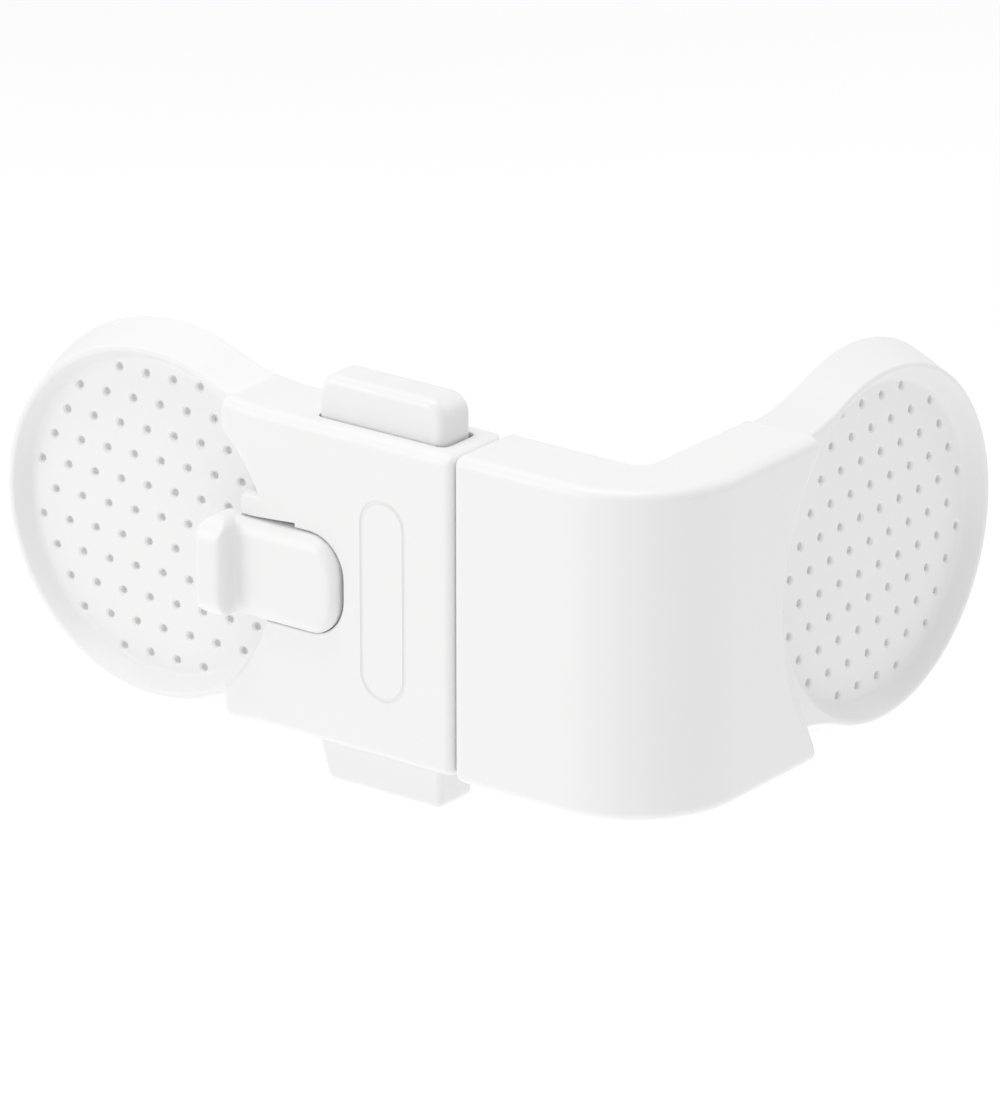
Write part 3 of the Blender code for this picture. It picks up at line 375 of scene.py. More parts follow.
def copies(shape: Solid, places: Sequence[Point]) -> Solid:
    """Repeat a small form.

    Args:
        shape: The form, standing at the origin.
        places: Where its copies stand; the form itself goes to the first.

    Returns:
        The same bmesh with every copy.
    """
    first = shape.verts[:] + shape.edges[:] + shape.faces[:]
    for across, up in places[1:]:
        made = bmesh.ops.duplicate(shape, geom=first)["geom"]
        verts = [item for item in made if isinstance(item, bmesh.types.BMVert)]
        bmesh.ops.translate(shape, verts=verts, vec=(across, up, 0.0))
    verts = [item for item in first if isinstance(item, bmesh.types.BMVert)]
    bmesh.ops.translate(shape, verts=verts, vec=(*places[0], 0.0))
    return shape


def as_mesh(name: str, shape: Solid, place: Place = Place.PLAN) -> bpy.types.Mesh:
    """Turn a bmesh into a mesh in its place, with its faces outward.

    Args:
        name: Name of the mesh.
        shape: The solid, which is used up.
        place: Where it stands.

    Returns:
        The mesh.
    """
    bmesh.ops.transform(shape, matrix=place.value, verts=shape.verts)
    bmesh.ops.recalc_face_normals(shape, faces=shape.faces)
    mesh = bpy.data.meshes.new(name)
    shape.to_mesh(mesh)
    shape.free()
    return mesh


class Workpiece:
    """One piece on the bench: a solid that is rounded, joined and cut, then settled into a mesh."""

    def __init__(self, name: str, mesh: bpy.types.Mesh) -> None:
        """Lay the first solid on the bench.

        Args:
            name: Name of the finished piece.
            mesh: Its first solid.
        """
        self.item = bpy.data.objects.new(name, mesh)
        bpy.context.scene.collection.objects.link(self.item)
        self.tools: list[bpy.types.Object] = []

    def weigh(self, chosen: Callable[[Vector], bool], weight: float = 1.0) -> "Workpiece":
        """Mark for rounding the edges whose two ends both pass a test.

        Args:
            chosen: The test of a vertex's place.
            weight: Share of the rounding's width that these edges get.

        Returns:
            The workpiece.
        """
        mesh = self.item.data
        name = "bevel_weight_edge"
        layer = mesh.attributes.get(name) or mesh.attributes.new(name, "FLOAT", "EDGE")
        for edge in mesh.edges:
            if all(chosen(mesh.vertices[i].co) for i in edge.vertices):
                layer.data[edge.index].value = weight
        return self

    def round_edges(self, width: float, segments: int, by_weight: bool = True) -> "Workpiece":
        """Round the marked edges, or every sharp one.

        Args:
            width: Width of the rounding.
            segments: Strips in it.
            by_weight: Whether only marked edges are rounded.

        Returns:
            The workpiece.
        """
        bevel = self.item.modifiers.new("Rounded edges", "BEVEL")
        bevel.limit_method = "WEIGHT" if by_weight else "ANGLE"
        bevel.angle_limit = SHARP_ANGLE
        bevel.width = width
        bevel.segments = segments
        bevel.profile = 0.5
        bevel.use_clamp_overlap = False
        return self

    def combine(self, shape: Solid, place: Place, operation: str) -> "Workpiece":
        """Join a solid on, cut it away, or keep only what lies in it.

        Args:
            shape: The other solid, which is used up.
            place: Where it stands.
            operation: UNION, DIFFERENCE or INTERSECT.

        Returns:
            The workpiece.
        """
        number = len(self.tools)
        tool = bpy.data.objects.new(f"tool_{number}", as_mesh(f"tool_{number}", shape, place))
        bpy.context.scene.collection.objects.link(tool)
        tool.hide_render = True
        self.tools.append(tool)
        boolean = self.item.modifiers.new(f"Step {number}", "BOOLEAN")
        boolean.operation = operation
        boolean.solver = "EXACT"
        boolean.object = tool
        return self

    def join(self, shape: Solid, place: Place = Place.PLAN) -> "Workpiece":
        """Join a solid on."""
        return self.combine(shape, place, "UNION")

    def cut(self, shape: Solid, place: Place = Place.PLAN) -> "Workpiece":
        """Cut a solid away."""
        return self.combine(shape, place, "DIFFERENCE")

    def bake(self) -> None:
        """Fix what the modifiers make as the mesh, and put the tools away."""
        bpy.context.view_layer.update()
        graph = bpy.context.evaluated_depsgraph_get()
        mesh = bpy.data.meshes.new_from_object(self.item.evaluated_get(graph))
        self.item.modifiers.clear()
        self.item.data = mesh
        for tool in self.tools:
            bpy.data.objects.remove(tool, do_unlink=True)
        self.tools.clear()

    def hand_over(self) -> Solid:
        """Bake the piece and give its shape to another piece.

        Returns:
            The shape, whose own object is gone.
        """
        self.bake()
        shape = bmesh.new()
        shape.from_mesh(self.item.data)
        bpy.data.objects.remove(self.item, do_unlink=True)
        return shape

    def soften(self, voxel: float, rounds: int) -> None:
        """Blend every edge and inside corner into a soft moulded form.

        Args:
            voxel: Side of the grid that the surface is rebuilt on.
            rounds: How many times the surface is smoothed.
        """
        remesh = self.item.modifiers.new("Even grid", "REMESH")
        remesh.mode = "VOXEL"
        remesh.voxel_size = voxel
        self.bake()
        shape = bmesh.new()
        shape.from_mesh(self.item.data)
        for _ in range(rounds):
            bmesh.ops.smooth_vert(
                shape,
                verts=shape.verts,
                factor=0.5,
                use_axis_x=True,
                use_axis_y=True,
                use_axis_z=True,
            )
        shape.to_mesh(self.item.data)
        shape.free()

    def settle(self, sharp: float = 30.0) -> bpy.types.Object:
        """Finish the piece.

        Args:
            sharp: Angle in degrees from which an edge is shaded sharp.

        Returns:
            The finished object, with its place in its mesh.
        """
        self.bake()
        mesh = self.item.data
        mesh.name = self.item.name
        mesh.materials.clear()
        mesh.shade_smooth()
        mesh.set_sharp_from_angle(angle=math.radians(sharp))
        normals = self.item.modifiers.new("Even shading", "WEIGHTED_NORMAL")
        normals.keep_sharp = True
        return self.item


# Finishes


def add_node(tree: Tree, kind: str, **settings: Any) -> Node:
    """Add a node and set its own properties.

    Args:
        tree: The tree that it goes into.
        kind: Node type.
        settings: Properties by name.

    Returns:
        The node.
    """
    node = tree.nodes.new(kind)
    for name, value in settings.items():
        setattr(node, name, value)
    return node


def feed(tree: Tree, node: Node, **values: Any) -> None:
    """Give a node's inputs their values or links.

    Args:
        tree: The tree that holds the node.
        node: The node.
        values: A number, colour or output socket by input name, with _ for a space.
    """
    for name, value in values.items():
        socket = node.inputs[name.replace("_", " ")]
        if isinstance(value, Socket):
            tree.links.new(value, socket)
        else:
            socket.default_value = value


def noise(tree: Tree, where: Socket, scale: Any, detail: float) -> Socket:
    """A noise pattern's grey value.

    Args:
        tree: The tree that it goes into.
        where: Coordinates.
        scale: Scale, as a number or a socket.
        detail: Octaves.

    Returns:
        The output socket.
    """
    node = add_node(tree, "ShaderNodeTexNoise")
    feed(tree, node, Vector=where, Scale=scale, Detail=detail)
    return node.outputs["Fac"]


def spread(tree: Tree, value: Socket, source: Point, low: Any, high: Any) -> Socket:
    """Map a grey value's working range onto a new one.

    Args:
        tree: The tree that it goes into.
        value: The grey value.
        source: Range that the value moves in.
        low: New lower end, as a number or a socket.
        high: New upper end, as a number or a socket.

    Returns:
        The output socket.
    """
    node = add_node(tree, "ShaderNodeMapRange")
    feed(tree, node, Value=value, From_Min=source[0], From_Max=source[1], To_Min=low, To_Max=high)
    return node.outputs["Result"]


def mix_colours(tree: Tree, share: Any, first: Any, second: Any) -> Socket:
    """Mix two colours by a mask.

    Args:
        tree: The tree that it goes into.
        share: The mask.
        first: Colour where the mask is 0.
        second: Colour where the mask is 1.

    Returns:
        The output socket.
    """
    node = add_node(tree, "ShaderNodeMix", data_type="RGBA")
    for number, value in ((0, share), (6, first), (7, second)):
        if isinstance(value, Socket):
            tree.links.new(value, node.inputs[number])
        else:
            node.inputs[number].default_value = value
    return node.outputs[2]


class Effect:
    """A shader node group that several finishes place with their own values."""

    name = ""
    inputs: tuple[tuple[str, str, Any], ...] = ()
    outputs: tuple[tuple[str, str], ...] = ()

    def tree(self) -> Tree:
        """Find the group's tree, or build it the first time that it is asked for.

        Returns:
            The tree.
        """
        known = bpy.data.node_groups.get(self.name)
        if known:
            return known
        tree = bpy.data.node_groups.new(self.name, "ShaderNodeTree")
        for label, kind, value in self.inputs:
            socket = tree.interface.new_socket(label, in_out="INPUT", socket_type=kind)
            socket.default_value = value
        for label, kind in self.outputs:
            tree.interface.new_socket(label, in_out="OUTPUT", socket_type=kind)
        self.fill(tree, add_node(tree, "NodeGroupInput"), add_node(tree, "NodeGroupOutput"))
        return tree

    def fill(self, tree: Tree, given: Node, result: Node) -> None:
        """Draw the group's nodes between its input and its output.

        Args:
            tree: The group's tree.
            given: Its input node.
            result: Its output node.
        """
        raise NotImplementedError

    def place(self, tree: Tree, **values: Any) -> Node:
        """Place the group in a material.

        Args:
            tree: The material's tree.
            values: The group's inputs by name.

        Returns:
            The group node.
        """
        node = add_node(tree, "ShaderNodeGroup", node_tree=self.tree())
        feed(tree, node, **values)
        return node


class MouldedSkin(Effect):
    """Surface of an injection moulding: faint flow marks, uneven gloss and a fine polished grain."""

    name = "moulded_skin"
    inputs = (
        ("Tone", "NodeSocketColor", (0.8, 0.8, 0.8, 1.0)),
        ("Second Tone", "NodeSocketColor", (0.8, 0.8, 0.8, 1.0)),
        ("Flow Scale", "NodeSocketFloat", 60.0),
        ("Grain Scale", "NodeSocketFloat", 2200.0),
        ("Grain Depth", "NodeSocketFloat", 0.1),
        ("Smooth", "NodeSocketFloat", 0.25),
        ("Rough", "NodeSocketFloat", 0.35),
    )
    outputs = (
        ("Color", "NodeSocketColor"),
        ("Roughness", "NodeSocketFloat"),
        ("Normal", "NodeSocketVector"),
    )

    def fill(self, tree: Tree, given: Node, result: Node) -> None:
        """Draw flow marks, gloss and grain on Object coordinates.

        Args:
            tree: The group's tree.
            given: Its input node.
            result: Its output node.
        """
        where = add_node(tree, "ShaderNodeTexCoord").outputs["Object"]
        flow = noise(tree, where, given.outputs["Flow Scale"], 3.0)
        grain = noise(tree, where, given.outputs["Grain Scale"], 2.0)
        gloss = noise(tree, where, 420.0, 4.0)
        share = spread(tree, flow, (0.35, 0.65), 0.0, 1.0)
        colour = mix_colours(tree, share, given.outputs["Tone"], given.outputs["Second Tone"])
        rough = spread(tree, gloss, (0.3, 0.7), given.outputs["Smooth"], given.outputs["Rough"])
        bump = add_node(tree, "ShaderNodeBump")
        feed(tree, bump, Strength=given.outputs["Grain Depth"], Distance=0.02 * MM, Height=grain)
        feed(tree, result, Color=colour, Roughness=rough, Normal=bump.outputs["Normal"])


class CellSkin(Effect):
    """Open cells of a soft foam, with painted shade darkening each cell's pit."""

    name = "cell_skin"
    inputs = (
        ("Tone", "NodeSocketColor", (0.8, 0.8, 0.8, 1.0)),
        ("Pit Tone", "NodeSocketColor", (0.5, 0.5, 0.5, 1.0)),
        ("Cell Scale", "NodeSocketFloat", 2600.0),
    )
    outputs = (("Color", "NodeSocketColor"), ("Normal", "NodeSocketVector"))

    def fill(self, tree: Tree, given: Node, result: Node) -> None:
        """Draw cells and their walls on Object coordinates, with painted shade in each pit.

        Args:
            tree: The group's tree.
            given: Its input node.
            result: Its output node.
        """
        where = add_node(tree, "ShaderNodeTexCoord").outputs["Object"]
        cells = add_node(tree, "ShaderNodeTexVoronoi")
        feed(tree, cells, Vector=where, Scale=given.outputs["Cell Scale"])
        wall = spread(tree, cells.outputs["Distance"], (0.1, 0.6), 0.0, 1.0)
        # Painted shade: the pits take the darker tone, and the walls keep the foam's own tone.
        colour = mix_colours(tree, wall, given.outputs["Pit Tone"], given.outputs["Tone"])
        bump = add_node(tree, "ShaderNodeBump")
        feed(tree, bump, Strength=0.5, Distance=0.08 * MM, Height=wall)
        feed(tree, result, Color=colour, Normal=bump.outputs["Normal"])


class PlatedSkin(Effect):
    """Zinc plate: a faint spangle and fine drawn lines."""

    name = "plated_skin"
    inputs = (
        ("Tone", "NodeSocketColor", (0.6, 0.6, 0.6, 1.0)),
        ("Second Tone", "NodeSocketColor", (0.5, 0.5, 0.5, 1.0)),
        ("Smooth", "NodeSocketFloat", 0.2),
        ("Rough", "NodeSocketFloat", 0.4),
    )
    outputs = MouldedSkin.outputs

    def fill(self, tree: Tree, given: Node, result: Node) -> None:
        """Draw spangle and lines on Object coordinates.

        Args:
            tree: The group's tree.
            given: Its input node.
            result: Its output node.
        """
        where = add_node(tree, "ShaderNodeTexCoord").outputs["Object"]
        spangle = add_node(tree, "ShaderNodeTexVoronoi")
        feed(tree, spangle, Vector=where, Scale=900.0)
        stretch = add_node(tree, "ShaderNodeMapping")
        feed(tree, stretch, Vector=where, Scale=(1.0, 12.0, 1.0))
        lines = noise(tree, stretch.outputs["Vector"], 1500.0, 3.0)
        share = spread(tree, spangle.outputs["Distance"], (0.0, 0.8), 0.0, 1.0)
        colour = mix_colours(tree, share, given.outputs["Tone"], given.outputs["Second Tone"])
        rough = spread(tree, lines, (0.3, 0.7), given.outputs["Smooth"], given.outputs["Rough"])
        bump = add_node(tree, "ShaderNodeBump")
        feed(tree, bump, Strength=0.15, Distance=0.01 * MM, Height=lines)
        feed(tree, result, Color=colour, Roughness=rough, Normal=bump.outputs["Normal"])


@dataclass(frozen=True)
class Finish:
    """What every finish has: a name, and the record's slot that it stands for."""

    name: str
    slot: str

    def material(self) -> bpy.types.Material:
        """Find the finish's material, or build it the first time that it is asked for.

        Returns:
            The material.
        """
        known = bpy.data.materials.get(self.name)
        if known:
            return known
        material = bpy.data.materials.new(self.name)
        material.use_nodes = True
        tree = material.node_tree
        self.dress(tree, tree.nodes["Principled BSDF"])
        return material

    def dress(self, tree: Tree, shader: Node) -> None:
        """Set up the material's shader.

        Args:
            tree: The material's tree.
            shader: Its Principled BSDF.
        """
        raise NotImplementedError

    def coat(self, item: bpy.types.Object) -> None:
        """Give an object this finish all over.

        Args:
            item: The object.
        """
        materials = item.data.materials
        if not materials:
            materials.append(self.material())
        for number in range(len(materials)):
            materials[number] = self.material()


@dataclass(frozen=True)
class GlossPlastic(Finish):
    """White moulded plastic with a clear gloss."""

    tone: tuple[float, float, float] = (0.84, 0.84, 0.84)
    second: tuple[float, float, float] = (0.836, 0.836, 0.833)
    smooth: float = 0.38
    rough: float = 0.5
    grain: float = 0.12
    depth: float = 0.0

    def dress(self, tree: Tree, shader: Node) -> None:
        """Set up the plastic's shader.

        Args:
            tree: The material's tree.
            shader: Its Principled BSDF.
        """
        skin = MouldedSkin().place(
            tree,
            Tone=(*self.tone, 1.0),
            Second_Tone=(*self.second, 1.0),
            Grain_Depth=self.grain,
            Smooth=self.smooth,
            Rough=self.rough,
        )
        feed(
            tree,
            shader,
            Base_Color=skin.outputs["Color"],
            Roughness=skin.outputs["Roughness"],
            Normal=skin.outputs["Normal"],
            IOR=1.5,
            Subsurface_Weight=self.depth,
            Subsurface_Radius=(0.6, 0.6, 0.6),
            Subsurface_Scale=1.0 * MM,
        )


@dataclass(frozen=True)
class FoamTape(Finish):
    """White acrylic foam tape."""

    def dress(self, tree: Tree, shader: Node) -> None:
        """Set up the foam's shader.

        Args:
            tree: The material's tree.
            shader: Its Principled BSDF.
        """
        # The darker second tone is painted shade in the foam's cell pits.
        skin = CellSkin().place(tree, Tone=(0.76, 0.76, 0.74, 1.0), Pit_Tone=(0.6, 0.6, 0.58, 1.0))
        feed(tree, shader, Base_Color=skin.outputs["Color"], Normal=skin.outputs["Normal"], Roughness=0.85)


@dataclass(frozen=True)
class PlatedSteel(Finish):
    """Zinc-plated steel of the screws and springs."""

    def dress(self, tree: Tree, shader: Node) -> None:
        """Set up the steel's shader.

        Args:
            tree: The material's tree.
            shader: Its Principled BSDF.
        """
        skin = PlatedSkin().place(tree, Tone=(0.66, 0.67, 0.69, 1.0), Second_Tone=(0.55, 0.56, 0.6, 1.0))
        feed(
            tree,
            shader,
            Base_Color=skin.outputs["Color"],
            Roughness=skin.outputs["Roughness"],
            Normal=skin.outputs["Normal"],
            Metallic=1.0,
        )


WHITE = GlossPlastic("white_gloss_shell", "white_plastic")
TOUCH = GlossPlastic(
    "white_gloss_controls", "white_plastic", tone=(0.83, 0.83, 0.83), smooth=0.34, rough=0.45, grain=0.08
)
ACETAL = GlossPlastic(
    "natural_acetal",
    "acetal",
    tone=(0.78, 0.76, 0.69),
    second=(0.76, 0.74, 0.67),
    smooth=0.32,
    rough=0.45,
    depth=0.3,
)
STEEL = PlatedSteel("zinc_plated_steel", "steel")
FOAM = FoamTape("white_foam_tape", "foam_tape")


def finish_piece(item: bpy.types.Object, body: str | None, finish: Finish, *nodes: str) -> None:
    """Coat a new piece, let it ride on its body and stand for its CAD nodes.

    Args:
        item: The piece.
        body: CAD body that it moves with, or None for a piece that bends between two.
        finish: Its finish.
        nodes: CAD nodes that it replaces.
    """
    finish.coat(item)
    if body:
        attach(item, body)
    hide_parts(*nodes)
    faces = len(item.data.polygons)
    LOG.info("%s rides on %s, %d faces, finish %s", item.name, body or "two bodies", faces, finish.name)


# Pieces


@dataclass
class PadForm:
    """The round pad and its waist, alike on both halves, with the depth planes that they share."""

    radius: float = 24.8 * MM
    draft: float = 2.2 * MM
    foot_round: float = 0.3 * MM
    back: float = 0.3 * MM
    plate: float = 3.7 * MM
    rim_height: float = 2.4 * MM
    rise: float = 6.8 * MM
    recess_radius: float = 20.5 * MM
    mouth_radius: float = 22.0 * MM
    floor_fillet: float = 1.2 * MM
    edge_roll: float = 1.1 * MM
    half_height: float = SHELL_HALF_HEIGHT
    waist_round: float = 30.0 * MM
    tape_radius: float = 21.0 * MM
    tape_thickness: float = 0.7 * MM
    dimple_pitch: float = 4.25 * MM
    dimple_radius: float = 0.6 * MM
    dimple_depth: float = 0.85 * MM
    dimple_field: float = 19.5 * MM
    dimple_mouth: float = 1.85
    dimple_profile: tuple[Point, ...] = ((0.85, 0.23), (0.7, 0.85), (0.4, 1.0), (0.0, 1.0))
    sides: int = 180

    @property
    def floor(self) -> float:
        """Depth of the recess floor."""
        return self.back + self.plate

    @property
    def rim(self) -> float:
        """Depth of the rim's crest."""
        return self.floor + self.rim_height

    @property
    def front(self) -> float:
        """Depth of the block's front face."""
        return self.floor + self.rise

    @property
    def outer_lean(self) -> float:
        """Lean of the pad's outer side from upright."""
        return math.atan2(self.draft, self.rim - self.back)

    @property
    def inner_lean(self) -> float:
        """Lean of the recess wall from upright."""
        return math.atan2(self.mouth_radius - self.recess_radius, self.rim_height)

    @property
    def crest_round(self) -> float:
        """Radius of the rim's crest, which touches its two sides and its top.

        Returns:
            The radius.
        """
        width = self.radius - self.draft - self.mouth_radius
        quarter = math.pi / 4
        return width / (math.tan(quarter - self.outer_lean / 2) + math.tan(quarter - self.inner_lean / 2))

    def waist_centre(self) -> Point:
        """Centre of the hollow arc between the pad's edge and the straight edge."""
        up = self.half_height + self.waist_round
        return math.sqrt((self.radius + self.waist_round) ** 2 - up**2), up

    def leg(self, end: float) -> Outline:
        """Draw the pad with its waist and neck.

        Args:
            end: Where the neck ends.

        Returns:
            The outline.
        """
        centre = self.waist_centre()
        touch = math.degrees(math.atan2(centre[1], centre[0]))
        turn = 90 - touch
        round_turn = 360 - 2 * touch
        return (
            Outline((end, self.half_height))
            .line((centre[0], self.half_height))
            .arc(centre, -turn, 12)
            .arc((0.0, 0.0), round_turn, round(self.sides * round_turn / 360))
            .arc((centre[0], -centre[1]), -turn, 12)
            .line((end, -self.half_height))
        )

    def plate_solid(self, end: float) -> Solid:
        """The pad plate with its leaning side and round crest.

        Args:
            end: Where the neck ends at its top, which lies inside the block.

        Returns:
            The closed solid.
        """
        low = self.back + self.foot_round
        roll = self.crest_round
        normal = math.pi - self.outer_lean
        middle = (self.draft + roll * math.tan(math.pi / 4 - self.outer_lean / 2), self.rim - roll - low)
        angles = [normal + (math.pi / 2 - normal) * i / 5 for i in range(6)]
        crest = [(middle[0] + roll * math.cos(a), middle[1] + roll * math.sin(a)) for a in angles]
        start = (self.foot_round * math.tan(self.outer_lean), 0.0)
        climb = steps_between([(0.0, 0.0), *[(x - start[0], y) for x, y in crest]])
        return slab(self.leg(end + self.draft), low, climb, round_over(self.foot_round, 3))

    def recess_profile(self, foot: float, top: float) -> Outline:
        """Profile of the recess and of the scoop above it, with every edge rolled over.

        Args:
            foot: Radius of the scoop at the rim.
            top: Radius of the scoop at the front face.

        Returns:
            The outline of (radius, depth) points, from the axis to the axis.
        """
        start = math.radians(100)
        slope = math.tan(start - math.pi / 2)
        scoop_lean = math.atan2(top - foot, self.front - self.rim)
        rolls = []
        for radius, depth, lean, roll in (
            (top, self.front, scoop_lean, self.edge_roll),
            (self.mouth_radius, self.rim, self.inner_lean, self.crest_round),
        ):
            middle = (radius + roll * math.tan(math.pi / 4 - lean / 2), depth - roll)
            rolls.append((middle, roll, math.degrees(math.pi - lean - start)))
        (upper, roll, upper_turn), (lower, crest, lower_turn) = rolls
        first = (upper[0] + roll * math.cos(start), upper[1] + roll * math.sin(start))
        second = (lower[0] + crest * math.cos(start), lower[1] + crest * math.sin(start))
        lift = 0.2 * MM
        far = first[0] + lift / slope
        above = self.front + OVERRUN
        profile = Outline((0.0, above)).line((far, above), (far, first[1] + lift), first)
        profile.arc(upper, upper_turn, 6).line((foot, second[1] + (foot - second[0]) * slope), second)
        profile.arc(lower, lower_turn, 5)
        along = self.floor_fillet * math.tan(math.pi / 4 - self.inner_lean / 2)
        wall = (
            self.recess_radius + along * math.sin(self.inner_lean),
            self.floor + along * math.cos(self.inner_lean),
        )
        centre = (self.recess_radius - along, self.floor + self.floor_fillet)
        profile.line(wall).arc(centre, -(90 - math.degrees(self.inner_lean)), 6)
        return profile.line((0.0, self.floor))

    def dimple_places(self) -> list[Point]:
        """Set out the dimples in rows of even pitch, each row shifted by half a pitch.

        Returns:
            Their centres.
        """
        row_pitch = self.dimple_pitch * math.sqrt(3) / 2
        rows = int(self.dimple_field / row_pitch)
        columns = int(2 * self.dimple_field / self.dimple_pitch) + 1
        places = []
        for row in range(-rows, rows + 1):
            for column in range(-columns, columns + 1):
                place = (column * self.dimple_pitch / 2, row * row_pitch)
                if (row + column) % 2 == 0 and math.hypot(*place) <= self.dimple_field:
                    places.append(place)
        return places

    def dimples(self) -> Solid:
        """Make the chamfered pits of the whole floor.

        Returns:
            One cutter with every pit.
        """
        reach, deep = self.dimple_radius, self.dimple_depth
        lift = 0.3 * MM
        above = self.floor + lift
        profile = Outline((0.0, above)).line((self.dimple_mouth * reach, above))
        for across, down in self.dimple_profile:
            profile.line((across * reach, self.floor - down * deep))
        return copies(turned(profile, 16), self.dimple_places())

    def hollow_out(self, piece: Workpiece, place: Place, foot: float, top: float) -> None:
        """Cut the recess, its scoop and its dimples, and the tape's seat behind.

        Args:
            piece: The shell.
            place: Where the pad stands.
            foot: Radius of the scoop at the rim.
            top: Radius of the scoop at the front face.
        """
        seat = self.tape_radius + FIT_GAP
        piece.cut(rod((0.0, 0.0), seat, self.back - OVERRUN, self.tape_thickness + FIT_GAP, sides=96), place)
        piece.cut(turned(self.recess_profile(foot, top), self.sides), place)
        piece.cut(self.dimples(), place)


def add_posts(piece: Workpiece, place: Place, places: Sequence[Point], ends: Point = POST_ENDS) -> None:
    """Stand screw posts inside a shell, each with its pilot hole.

    Args:
        piece: The shell.
        place: Frame that the posts stand in.
        places: Their axes.
        ends: Depth of their open ends, and depth at which they join the front wall.
    """
    foot, top = ends
    for post in places:
        piece.join(rod(post, POST_RADIUS, foot, top), place)
        piece.cut(rod(post, PILOT_RADIUS, foot - OVERRUN, top - PILOT_STOP), place)


def cut_prong_slot(piece: Workpiece, side: Side, start: float, end: float) -> None:
    """Open an end wall for one of the fork's prongs.

    Args:
        piece: The shell.
        side: Half that the prong lies in.
        start: Left end of the cut.
        end: Right end of the cut.
    """
    low, high = PRONG_SLOT
    back, front = PRONG_DEPTH
    piece.cut(box((start, end), (-front, -back), (low * side.value, high * side.value)))


